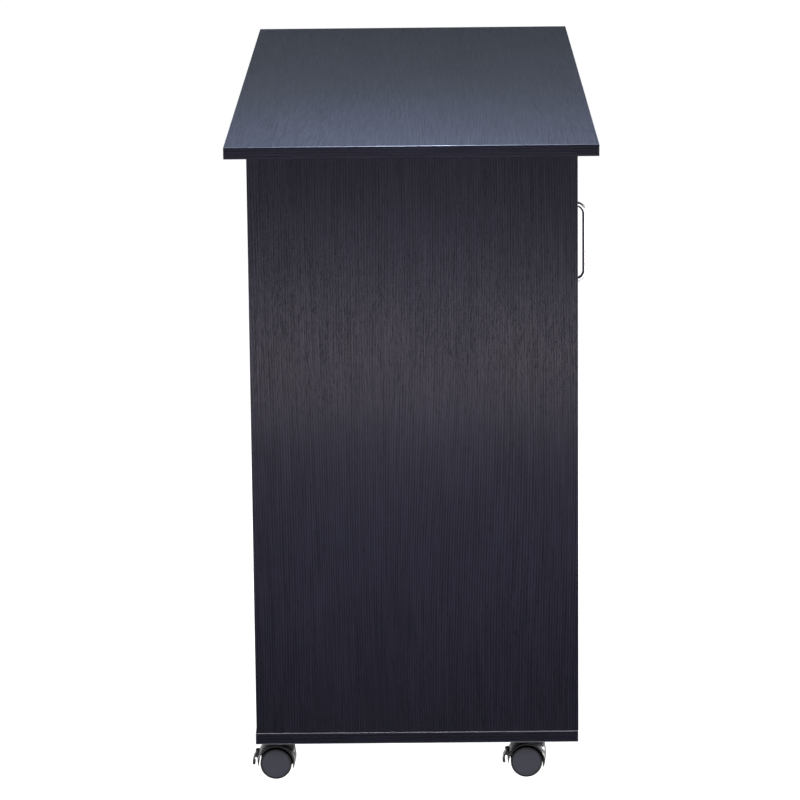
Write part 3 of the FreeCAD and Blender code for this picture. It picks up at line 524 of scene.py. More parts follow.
@dataclass(frozen=True)
class Surface:
    """Points (n, 3) and four-cornered faces (m, 4), kept as arrays until they become a piece."""

    points: np.ndarray
    faces: np.ndarray

    @staticmethod
    def grid(points: np.ndarray, wrap_rows: bool = False) -> "Surface":
        """Faces between the neighbours of a grid of points, whose every row closes into a ring.

        Args:
            points: a (rows, columns, 3) array.
            wrap_rows: whether the last row also joins the first.

        Returns:
            The surface.
        """
        rows, columns = points.shape[:2]
        index = np.arange(rows * columns).reshape(rows, columns)
        if wrap_rows:
            index = np.vstack([index, index[:1]])
        index = np.hstack([index, index[:, :1]])
        corners = [index[:-1, :-1], index[1:, :-1], index[1:, 1:], index[:-1, 1:]]
        return Surface(points.reshape(-1, 3), np.stack(corners, axis=-1).reshape(-1, 4))

    @staticmethod
    def turning(profile: np.ndarray, axis: Axis, segments: int = 64) -> "Surface":
        """A profile turned about an axis through the origin.

        A profile point (a, r) becomes the circle of radius r at height a along the axis.

        Args:
            profile: a (k, 2) array of heights and radii; radius 0 at an end closes it.
            axis: the axis of the turning.
            segments: the points in each circle.

        Returns:
            The surface.
        """
        angle = np.linspace(0, math.tau, segments, endpoint=False)
        height, radius = profile[:, 0, None], profile[:, 1, None]
        points = np.empty((len(profile), segments, 3))
        first, second = axis.others
        points[..., axis.value] = height
        points[..., first.value] = radius * np.cos(angle)
        points[..., second.value] = radius * np.sin(angle)
        return Surface.grid(points)

    @staticmethod
    def joined(surfaces: Iterable["Surface"]) -> "Surface":
        """Several surfaces as one.

        Args:
            surfaces: the surfaces, whose points are kept in order.

        Returns:
            The surface of them all.
        """
        listed = list(surfaces)
        starts = np.cumsum([0] + [len(surface.points) for surface in listed[:-1]])
        return Surface(
            np.concatenate([surface.points for surface in listed]),
            np.concatenate([surface.faces + start for surface, start in zip(listed, starts)]),
        )

    def moved(self, offset: Sequence[float]) -> "Surface":
        """The surface moved by an offset."""
        return Surface(self.points + np.asarray(offset, float), self.faces)

    def mirrored(self, axis: Axis) -> "Surface":
        """The surface mirrored along an axis, its faces turned back to point outwards."""
        signs = np.ones(3)
        signs[axis.value] = -1
        return Surface(self.points * signs, self.faces[:, ::-1])

    def piece(self, name: str, *finishes: Finish, crease: float = 35.0) -> bpy.types.Object:
        """Makes the surface an object: doubles merged, normals outwards, smooth but for creases.

        Args:
            name: the piece's name.
            finishes: its materials, in slot order.
            crease: edges sharper than this many degrees stay sharp.

        Returns:
            The new object, at the origin.
        """
        mesh = bpy.data.meshes.new(name)
        mesh.from_pydata(self.points.tolist(), [], self.faces.tolist())
        work = bmesh.new()
        work.from_mesh(mesh)
        bmesh.ops.remove_doubles(work, verts=work.verts, dist=SAME_PLACE)
        bmesh.ops.recalc_face_normals(work, faces=work.faces)
        work.to_mesh(mesh)
        work.free()
        return object_from(mesh, name, finishes, crease)


def object_from(
    mesh: bpy.types.Mesh, name: str, finishes: Sequence[Finish], crease: float
) -> bpy.types.Object:
    """Links a mesh to the scene as a smooth-shaded object.

    Args:
        mesh: its mesh, placed in the frame.
        name: its name.
        finishes: its materials, in slot order.
        crease: edges sharper than this many degrees stay sharp.

    Returns:
        The object.
    """
    mesh.shade_smooth()
    mesh.set_sharp_from_angle(angle=math.radians(crease))
    for finish in finishes:
        mesh.materials.append(finish.material())
    return linked(name, mesh)


def linked(name: str, data: bpy.types.ID) -> bpy.types.Object:
    """A new object that holds this data, in the scene."""
    made = bpy.data.objects.new(name, data)
    bpy.context.scene.collection.objects.link(made)
    return made


def moulding(
    distance: Callable[[np.ndarray, np.ndarray, np.ndarray], np.ndarray],
    low: Point,
    high: Point,
    cell: float,
) -> Surface:
    """The surface where a distance function of whole coordinate arrays is zero.

    Args:
        distance: gives the distance outside the solid, negative inside, for arrays of x, y and z.
        low: the lowest corner of the space to look in.
        high: its highest corner.
        cell: the size of the cells that the space is looked at in.

    Returns:
        A closed surface.
    """
    axes = [np.arange(start, end + cell, cell) for start, end in zip(low, high)]
    values = distance(*np.meshgrid(*axes, indexing="ij")) / cell
    grid = openvdb.FloatGrid(background=3.0)
    grid.copyFromArray(np.clip(values, -3.0, 3.0).astype(np.float32))
    points, quads = grid.convertToQuads(0.0)
    return Surface(points.astype(float) * cell + np.array(low), quads.astype(int))


def rounded_union(first: np.ndarray, second: np.ndarray, fillet: float) -> np.ndarray:
    """The distance to two solids joined with a fillet: the lesser, eased where they are close."""
    near = np.clip(0.5 + 0.5 * (second - first) / fillet, 0, 1)
    return second * (1 - near) + first * near - fillet * near * (1 - near)


def rounded_cut(first: np.ndarray, second: np.ndarray, fillet: float) -> np.ndarray:
    """The distance to what two solids share, with its edges rounded over."""
    return -rounded_union(-first, -second, fillet)


def merged_copy(node: str) -> bmesh.types.BMesh:
    """A copy of a CAD node's mesh, with its loose triangles joined and its flat faces whole.

    Args:
        node: the node's name.

    Returns:
        The copy, to be freed by the caller.
    """
    work = bmesh.new()
    work.from_mesh(frame["nodes"][node].data)
    bmesh.ops.remove_doubles(work, verts=work.verts, dist=SAME_PLACE)
    bmesh.ops.dissolve_limit(
        work, angle_limit=math.radians(0.2), verts=work.verts, edges=work.edges
    )
    return work


def solids_of(node: str) -> list[tuple[Vector, Vector]]:
    """The lowest and highest corner of each separate solid of a CAD node.

    Args:
        node: the node's name.

    Returns:
        The corner pairs, sorted by place.
    """
    work = merged_copy(node)
    waiting = set(work.verts)
    found = []
    while waiting:
        edge = [waiting.pop()]
        island = list(edge)
        while edge:
            vertex = edge.pop()
            fresh = {link.other_vert(vertex) for link in vertex.link_edges} & waiting
            waiting -= fresh
            edge.extend(fresh)
            island.extend(fresh)
        places = np.array([vertex.co for vertex in island])
        found.append((Vector(places.min(axis=0)), Vector(places.max(axis=0))))
    work.free()
    return sorted(found, key=lambda pair: tuple(round(value, 4) for value in pair[0]))


def corners_of(node: str) -> tuple[np.ndarray, np.ndarray]:
    """The lowest and highest corner of a CAD node."""
    low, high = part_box(node)
    return np.array(low), np.array(high)


def stand_in(piece: bpy.types.Object, *nodes: str) -> bpy.types.Object:
    """Lets a new piece stand for CAD nodes, on their body.

    Args:
        piece: the new piece, in its place.
        nodes: the nodes that it stands for, all on one body.

    Returns:
        The piece.
    """
    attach(piece, frame["nodes"][nodes[0]]["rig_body"])
    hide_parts(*nodes)
    LOG.info("%s: %d faces, stands for %s", piece.name, len(piece.data.polygons), ", ".join(nodes))
    return piece


def read(
    rows: bpy.types.bpy_prop_collection, name: str, width: int, kind: type = float
) -> np.ndarray:
    """One property of every row of a mesh, such as each vertex's place.

    Args:
        rows: the mesh's vertices, edges, faces or corners.
        name: the property.
        width: how many numbers it holds.
        kind: the type of its numbers.

    Returns:
        An array of (rows, width).
    """
    values = np.empty(len(rows) * width, kind)
    rows.foreach_get(name, values)
    return values.reshape(-1, width)


def set_finishes(piece: bpy.types.Object, numbers: np.ndarray) -> None:
    """Gives each face of a piece the finish in its numbered slot."""
    piece.data.polygons.foreach_set("material_index", numbers.astype(np.int32))


def lay_grain(piece: bpy.types.Object, across: np.ndarray, along: np.ndarray) -> None:
    """Gives each corner of a piece its place on the grain map: across the grain, then along it."""
    layer = piece.data.uv_layers.new(name=GRAIN_MAP)
    layer.uv.foreach_set("vector", np.stack([across, along], axis=1).astype(np.float32).ravel())


def face_arrays(piece: bpy.types.Object) -> tuple[np.ndarray, np.ndarray, np.ndarray]:
    """Each face's normal, each face's number of corners, and each corner's place.

    Args:
        piece: the piece to read.

    Returns:
        Arrays of (faces, 3), (faces,) and (corners, 3).
    """
    mesh = piece.data
    corners = read(mesh.polygons, "loop_total", 1, np.int32).ravel()
    indexes = read(mesh.loops, "vertex_index", 1, np.int32).ravel()
    return read(mesh.polygons, "normal", 3), corners, read(mesh.vertices, "co", 3)[indexes]


def face_centres(piece: bpy.types.Object) -> np.ndarray:
    """The middle of each face of a piece, as an array of (faces, 3)."""
    return read(piece.data.polygons, "center", 3)


def copied_piece(node: str, name: str, finishes: Sequence[Finish]) -> bpy.types.Object:
    """A piece with a CAD node's shape.

    Args:
        node: the node to copy.
        name: the piece's name.
        finishes: its materials, in slot order.

    Returns:
        The piece.
    """
    work = merged_copy(node)
    mesh = bpy.data.meshes.new(name)
    work.to_mesh(mesh)
    work.free()
    return object_from(mesh, name, finishes, crease=30.0)


class Easing(Enum):
    """Which edges of a piece a bevel rounds over."""

    SHARP = "ANGLE"
    MARKED = "WEIGHT"


def eased(piece: bpy.types.Object, arris: float, easing: Easing) -> bpy.types.BevelModifier:
    """Rounds a piece's edges over with a live bevel.

    Args:
        piece: the piece.
        arris: the width of the rounding.
        easing: the edges that it takes: the sharp ones, or those with a bevel weight.

    Returns:
        The bevel.
    """
    bevel = piece.modifiers.new("arris", "BEVEL")
    bevel.width = arris
    bevel.segments = 3
    bevel.limit_method = easing.value
    bevel.angle_limit = SHARP_ANGLE
    bevel.harden_normals = True
    return bevel


# ------------------------------------------------------------------ boards


@dataclass(frozen=True)
class Board:
    """A board cut from film-faced chipboard, with banded edges and an eased arris.

    Its face is the axis that its broad sides look along, and its grain the axis that the grain
    runs along. The offset moves its grain map, so that no two boards show the same figure. A board
    flagged for it has a lighter film on its arris than on its faces: a painted highlight.
    """

    node: str
    face: Axis
    grain: Axis
    arris: float = 0.45 * MM
    film: Finish = FILM
    band: Finish = BAND
    offset: tuple[float, float] = (0.0, 0.0)
    # Whether the arris takes the lighter arris film, a painted highlight.
    wear_and_painted_highlight: bool = False

    def build(self) -> bpy.types.Object:
        """Makes the board from a copy of its node and lets it stand for it."""
        finishes = (self.film, self.band, CORE, ARRIS_PAINTED_HIGHLIGHT)
        piece = copied_piece(self.node, f"dressed_{self.node}", finishes)
        self._mark_edges(piece.data)
        bevel = eased(piece, self.arris, Easing.MARKED)
        bevel.use_clamp_overlap = False
        # The bevel's rounded faces take the lighter arris film: a painted highlight.
        if self.wear_and_painted_highlight:
            bevel.material = finishes.index(ARRIS_PAINTED_HIGHLIGHT)
        self._map_grain(piece)
        self._sort_faces(piece)
        return stand_in(piece, self.node)

    def _mark_edges(self, mesh: bpy.types.Mesh) -> None:
        """Marks the board's twelve outer edges to be eased: those that lie in two outer planes.

        Args:
            mesh: the board's mesh.
        """
        places = read(mesh.vertices, "co", 3)
        low, high = corners_of(self.node)
        planes = np.abs(np.hstack([places - low, places - high])) < FLUSH
        ends = read(mesh.edges, "vertices", 2, np.int32)
        shared = planes[ends[:, 0]] & planes[ends[:, 1]]
        weights = (shared.sum(axis=1) >= 2).astype(np.float32)
        layer = mesh.attributes.new("bevel_weight_edge", "FLOAT", "EDGE")
        layer.data.foreach_set("value", weights)

    def _map_grain(self, piece: bpy.types.Object) -> None:
        """Lays the grain map on the board.

        On a face the map's V is the place along the grain. On an edge it is the place along that
        edge, because a band's grain runs with the edge.

        Args:
            piece: the board's piece.
        """
        normals, corners, places = face_arrays(piece)
        looks = np.repeat(np.abs(normals).argmax(axis=1), corners)
        face, grain = self.face.value, self.grain.value
        along = np.where(looks == face, grain, 3 - face - looks)
        across = np.where(looks == face, 3 - face - grain, face)
        rows = np.arange(len(places))
        shift_across, shift_along = self.offset
        lay_grain(piece, places[rows, across] + shift_across, places[rows, along] + shift_along)

    def _sort_faces(self, piece: bpy.types.Object) -> None:
        """Gives film to the outer faces, band to the outer edges and raw core to what is cut.

        Args:
            piece: the board's piece.
        """
        normals, _, _ = face_arrays(piece)
        centres = face_centres(piece)
        low, high = corners_of(self.node)
        looks = np.abs(normals).argmax(axis=1)
        rows = np.arange(len(centres))
        place = centres[rows, looks]
        depth = np.minimum(np.abs(place - low[looks]), np.abs(place - high[looks]))
        outside = (depth < FLUSH) & (np.abs(normals[rows, looks]) > SQUARE)
        set_finishes(piece, np.where(outside, np.where(looks == self.face.value, 0, 1), 2))


BOARDS = (
    Board("worktop", Axis.Z, Axis.X, arris=0.15 * MM, film=TOP_FILM_PAINTED_LIGHT),
    # The base board's top arris carries a painted highlight.
    Board("base_board", Axis.Z, Axis.X, arris=1.0 * MM, offset=(0.7, 0.3), wear_and_painted_highlight=True),
    Board("left_side_panel", Axis.X, Axis.Z, arris=0.6 * MM, offset=(1.3, 0.0)),
    Board("right_side_panel", Axis.X, Axis.Z, arris=0.6 * MM, offset=(2.9, 1.1)),
    Board("left_partition", Axis.X, Axis.Z, offset=(3.7, 2.4)),
    Board("right_partition", Axis.X, Axis.Z, offset=(4.4, 3.1)),
    Board("centre_drawer_divider", Axis.Z, Axis.X, offset=(5.2, 0.6)),
    Board("right_drawer_divider", Axis.Z, Axis.X, offset=(6.1, 1.9)),
    Board("cupboard_shelf", Axis.Z, Axis.X, offset=(7.3, 2.2)),
    Board("centre_shelf", Axis.Z, Axis.X, offset=(8.5, 3.3)),
    Board("right_shelf", Axis.Z, Axis.X, offset=(9.1, 0.4)),
    Board("door_panel", Axis.Y, Axis.Z, arris=0.6 * MM, offset=(10.2, 1.2)),
    Board("centre_drawer_front", Axis.Y, Axis.X, arris=0.6 * MM, offset=(11.8, 2.7)),
    Board("right_drawer_front", Axis.Y, Axis.X, arris=0.6 * MM, offset=(12.6, 3.9)),
    Board("back_panel", Axis.Y, Axis.Z, arris=0.2 * MM, film=PRINTED_SHEET, band=CORE),
    Board("centre_drawer_left_side", Axis.X, Axis.Y, offset=(13.4, 0.8)),
    Board("centre_drawer_right_side", Axis.X, Axis.Y, offset=(14.1, 1.9)),
    Board("centre_drawer_rear", Axis.Y, Axis.X, offset=(15.3, 2.5)),
    Board("right_drawer_left_side", Axis.X, Axis.Y, offset=(16.2, 3.6)),
    Board("right_drawer_right_side", Axis.X, Axis.Y, offset=(17.5, 0.2)),
    Board("right_drawer_rear", Axis.Y, Axis.X, offset=(18.9, 1.4)),
    Board("centre_drawer_bottom", Axis.Z, Axis.X, arris=0.2 * MM, film=PRINTED_SHEET, band=CORE),
    Board("right_drawer_bottom", Axis.Z, Axis.X, arris=0.2 * MM, film=PRINTED_SHEET, band=CORE),
)


# ------------------------------------------------------------------ worktop edging


@dataclass(frozen=True)
class WorktopEdging:
    """The band round the worktop: a thin strip with both its outer arrises rounded over.

    Faces that look upwards by more than the least rise and less than the most are the upper
    arris, which takes the lighter arris film as a painted highlight. The end offset sets the grain
    of the short sides apart from the long ones.
    """

    node: str = "worktop_edging"
    rounding: float = 1.0 * MM
    arc_steps: int = 8
    end_offset: float = 3.0
    least_rise: float = 0.15
    most_rise: float = 0.99

    def build(self) -> bpy.types.Object:
        """Makes the band and lets it stand for its node."""
        low, high = corners_of(self.node)
        profile = self._profile(high[2] - low[2])
        path, outward = self._path(low, high)
        points = np.empty((len(path), len(profile), 3))
        points[..., :2] = path[:, None, :] + outward[:, None, :] * profile[None, :, 0, None]
        points[..., 2] = low[2] + profile[None, :, 1]
        surface = Surface.grid(points, wrap_rows=True)
        piece = surface.piece("rounded_worktop_edging", BAND, ARRIS_PAINTED_HIGHLIGHT)
        self._map_grain(piece)
        normals, _, _ = face_arrays(piece)
        # The upper arris faces take the lighter film in slot 1: a painted highlight.
        set_finishes(piece, (normals[:, 2] > self.least_rise) & (normals[:, 2] < self.most_rise))
        return stand_in(piece, self.node)

    def _profile(self, height: float) -> np.ndarray:
        """The band's section: (outward from the rounding's centre line, up) round its outline.

        A front whose two corners are quarter circles. The faces from its end to its start are the
        straight back.

        Args:
            height: the band's height.

        Returns:
            Points of (outward, up), from the top of the front to its foot.
        """
        turn = np.linspace(math.pi / 2, 0, self.arc_steps)
        upper = np.stack([
            self.rounding * np.cos(turn),
            height - self.rounding + self.rounding * np.sin(turn),
        ], axis=1)
        lower = upper[::-1] * (1, -1) + (0, height)
        return np.concatenate([upper, lower])

    def _path(self, low: np.ndarray, high: np.ndarray) -> tuple[np.ndarray, np.ndarray]:
        """The line of the rounding's centre round the worktop, and the way out from it.

        Each corner is a quarter circle of directions about one point, so that the outer face turns
        with the rounding's radius.

        Args:
            low: the band's lowest corner.
            high: its highest corner.

        Returns:
            Points of (x, y), and a unit vector outwards for each.
        """
        inner_low, inner_high = low[:2] + self.rounding, high[:2] - self.rounding
        corners = [
            (inner_high[0], inner_low[1]),
            (inner_high[0], inner_high[1]),
            (inner_low[0], inner_high[1]),
            (inner_low[0], inner_low[1]),
        ]
        turn = np.linspace(-math.pi / 2, 0, self.arc_steps)
        paths, ways = [], []
        for index, corner in enumerate(corners):
            angles = turn + index * math.pi / 2
            paths.append(np.repeat([corner], self.arc_steps, axis=0))
            ways.append(np.stack([np.cos(angles), np.sin(angles)], axis=1))
        return np.concatenate(paths), np.concatenate(ways)

    def _map_grain(self, piece: bpy.types.Object) -> None:
        """Lays the grain map round the band: U is the height, V the place along that side.

        Args:
            piece: the band's piece.
        """
        normals, corners, places = face_arrays(piece)
        ends = np.repeat(np.abs(normals[:, 0]) > np.abs(normals[:, 1]), corners)
        lay_grain(piece, places[:, 2], np.where(ends, places[:, 1] + self.end_offset, places[:, 0]))


# ------------------------------------------------------------------ pulls


@dataclass(frozen=True)
class Pull:
    """A bent-rod pull: two legs, two quarter bends and a straight bar."""

    node: str
    bend_radius: float = 13 * MM
    bend_steps: int = 16
    leg_steps: int = 6
    half_bar_steps: int = 13
    around: int = 32

    def build(self) -> bpy.types.Object:
        """Makes the pull and lets it stand for its node."""
        low, high = corners_of(self.node)
        size = high - low
        bar = Axis.X if size[0] > size[2] else Axis.Z
        side = Axis.Z if bar is Axis.X else Axis.X
        rod = size[side.value] / 2
        middle = (low + high) / 2
        path = self._path(size[bar.value] - 2 * rod, high[1] - low[1] - rod)
        direction = np.gradient(path, axis=0)
        direction /= np.linalg.norm(direction, axis=1)[:, None]
        angle = np.linspace(0, math.tau, self.around, endpoint=False)
        points = np.empty((len(path), self.around, 3))
        points[..., bar.value] = path[:, None, 0] - rod * np.cos(angle) * direction[:, None, 1]
        points[..., 1] = path[:, None, 1] + rod * np.cos(angle) * direction[:, None, 0]
        points[..., side.value] = rod * np.sin(angle)
        rings = np.concatenate([
            np.repeat(points[:1].mean(axis=1, keepdims=True), self.around, axis=1),
            points,
            np.repeat(points[-1:].mean(axis=1, keepdims=True), self.around, axis=1),
        ])
        surface = Surface.grid(rings).moved((middle[0], high[1], middle[2]))
        return stand_in(surface.piece(f"bent_{self.node}", SATIN_STEEL), self.node)

    def _path(self, centres: float, reach: float) -> np.ndarray:
        """The rod's centre line from one foot to the other: half of it, and that half mirrored.

        Args:
            centres: the distance between the legs' centre lines.
            reach: how far the bar's centre line stands out from the board.

        Returns:
            Points of (along the bar, out from the board).
        """
        turn = np.linspace(0, math.pi / 2, self.bend_steps)
        bend = np.stack([
            -centres / 2 + self.bend_radius * (1 - np.cos(turn)),
            -reach + self.bend_radius * (1 - np.sin(turn)),
        ], axis=1)
        leg = np.stack([
            np.full(self.leg_steps, -centres / 2),
            np.linspace(0, -reach + self.bend_radius, self.leg_steps),
        ], axis=1)[:-1]
        half_bar = np.stack([
            np.linspace(-centres / 2 + self.bend_radius, 0, self.half_bar_steps),
            np.full(self.half_bar_steps, -reach),
        ], axis=1)[1:]
        half = np.concatenate([leg, bend, half_bar])
        return np.concatenate([half, (half * (-1, 1))[-2::-1]])


# ------------------------------------------------------------------ fittings


@dataclass(frozen=True)
class Fitting:
    """A small part that keeps its CAD shape, with its edges eased."""

    node: str
    finish: Finish
    arris: float

    def build(self) -> bpy.types.Object:
        """Makes the fitting and lets it stand for its node."""
        piece = copied_piece(self.node, f"eased_{self.node}", (self.finish,))
        eased(piece, self.arris, Easing.SHARP)
        return stand_in(piece, self.node)


@dataclass(frozen=True)
class CrossHeads:
    """Every screw or cam of a node: turned, with an eased head and a cross recess in its end."""

    node: str
    axis: Axis
    head_at_low: bool
    head_height: float
    shank_radius: float
    recess: float
    both_ends: bool = False
    cell: float = 0.4 * MM
    arris: float = 0.5 * MM
    arm_share: float = 0.22
    depth_share: float = 0.8
    narrowing: float = 0.5

    def build(self) -> bpy.types.Object:
        """Makes all of the node's fasteners as one piece and lets it stand for it."""
        surfaces = [self._fastener(low, high) for low, high in solids_of(self.node)]
        piece = Surface.joined(surfaces).piece(f"recessed_{self.node}", ZINC)
        return stand_in(piece, self.node)

    def _fastener(self, low: Vector, high: Vector) -> Surface:
        """One fastener.

        Args:
            low: the lowest corner of its box.
            high: its highest corner.

        Returns:
            Its surface.
        """
        first, second = self.axis.others
        length = high[self.axis.value] - low[self.axis.value]
        radius = (high[first.value] - low[first.value]) / 2
        middle = np.array((low + high) / 2)

        def distance(*places: np.ndarray) -> np.ndarray:
            """Head and shank, less the cross, which narrows downwards.

            Args:
                places: places along X, Y and Z from the fastener's middle.

            Returns:
                The distance to the fastener.
            """
            along = places[self.axis.value] + length / 2
            depth = along if self.head_at_low else length - along
            aside, upward = np.abs(places[first.value]), np.abs(places[second.value])
            spread = np.hypot(aside, upward)
            half_head = self.head_height / 2
            head = rounded_cut(spread - radius, np.abs(depth - half_head) - half_head, self.arris)
            shank = np.maximum(spread - self.shank_radius, np.abs(depth - length / 2) - length / 2)
            below = np.minimum(depth, length - depth) if self.both_ends else depth
            cross = np.maximum.reduce([
                np.minimum(aside, upward) - self.arm_share * self.recess,
                np.maximum(aside, upward) - self.recess + self.narrowing * below,
                below - self.depth_share * self.recess,
            ])
            return np.maximum(np.minimum(head, shank), -cross)

        reach = np.full(3, radius + self.cell)
        reach[self.axis.value] = length / 2 + self.cell
        return moulding(distance, tuple(-reach), tuple(reach), self.cell).moved(middle)


FITTINGS = (
    CrossHeads("cam_locks", Axis.X, True, 12 * MM, 1 * MM, 3.0 * MM, both_ends=True, cell=0.5 * MM),
    CrossHeads("door_pull_screws", Axis.Y, False, 2.4 * MM, 2 * MM, 2.0 * MM),
    CrossHeads("centre_drawer_pull_screws", Axis.Y, False, 2.4 * MM, 2 * MM, 2.0 * MM),
    CrossHeads("right_drawer_pull_screws", Axis.Y, False, 2.4 * MM, 2 * MM, 2.0 * MM),
    CrossHeads("caster_screws", Axis.Z, True, 1.6 * MM, 1.75 * MM, 1.7 * MM),
    Fitting("cam_bolts", ZINC, 0.5 * MM),
    Fitting("shelf_pins", ZINC, 0.9 * MM),
    Fitting("door_pivot_pins", ZINC, 0.5 * MM),
    Fitting("catch_plate", ZINC, 0.3 * MM),
    Fitting("caster_plates", ZINC, 0.5 * MM),
    Fitting("dowels", BEECH, 1.0 * MM),
    Fitting("door_pivot_bushes", NYLON, 0.5 * MM),
    Fitting("magnetic_catch", NYLON, 0.8 * MM),
    Fitting("centre_drawer_runners", NYLON, 0.8 * MM),
    Fitting("right_drawer_runners", NYLON, 0.8 * MM),
)


# ------------------------------------------------------------------ casters


@dataclass(frozen=True)
class Lever:
    """The sizes of a brake lever, from its pivot: Y to the rear, Z up."""

    toe: tuple[float, float] = (4.6 * MM, -11.7 * MM)
    bulge: float = 2.2 * MM
    half_thickness: float = 1.1 * MM
    knob_radius: float = 2.7 * MM
    toe_radius: float = 1.8 * MM
    half_width: float = 8.2 * MM
    shoe_length: float = 3.5 * MM
    shoe_half_thickness: float = 0.8 * MM
    pin_radius: float = 1.2 * MM
    pin_end: float = 10.6 * MM
    knob_fillet: float = 0.8 * MM
    toe_fillet: float = 0.9 * MM
    side_rounding: float = 1.0 * MM
    cell: float = 0.28 * MM

    def surface(self) -> Surface:
        """The lever: a round knob on stub pins, a curved arm, a rounded toe and a shoe."""
        toe = np.array(self.toe)
        chord = np.hypot(*toe)
        radius = (chord**2 / 4 + self.bulge**2) / (2 * self.bulge)
        outward = np.array([-toe[1], toe[0]]) / chord
        centre = toe / 2 + outward * (self.bulge - radius)

        def distance(x: np.ndarray, y: np.ndarray, z: np.ndarray) -> np.ndarray:
            """Knob, arm, toe and shoe joined with fillets and rounded at the sides, and the pins.

            Args:
                x: places along the pivot.
                y: places to the rear of it.
                z: places above it.

            Returns:
                The distance to the lever.
            """
            off = np.hypot(y, z)
            tip = np.hypot(y - toe[0], z - toe[1]) - self.toe_radius
            along = (y * toe[0] + z * toe[1]) / chord
            from_arc = np.abs(np.hypot(y - centre[0], z - centre[1]) - radius)
            arm = np.maximum.reduce([from_arc - self.half_thickness, -along, along - chord])
            shoe = np.maximum.reduce([np.abs(z) - self.shoe_half_thickness, -y - self.shoe_length, y])
            body = rounded_union(off - self.knob_radius, arm, self.knob_fillet)
            body = np.minimum(rounded_union(body, tip, self.toe_fillet), shoe)
            body = rounded_cut(body, np.abs(x) - self.half_width, self.side_rounding)
            return np.minimum(body, np.maximum(off - self.pin_radius, np.abs(x) - self.pin_end))

        low = (-11.5 * MM, -4.5 * MM, -14 * MM)
        high = (11.5 * MM, 8.5 * MM, 4 * MM)
        return moulding(distance, low, high, self.cell)


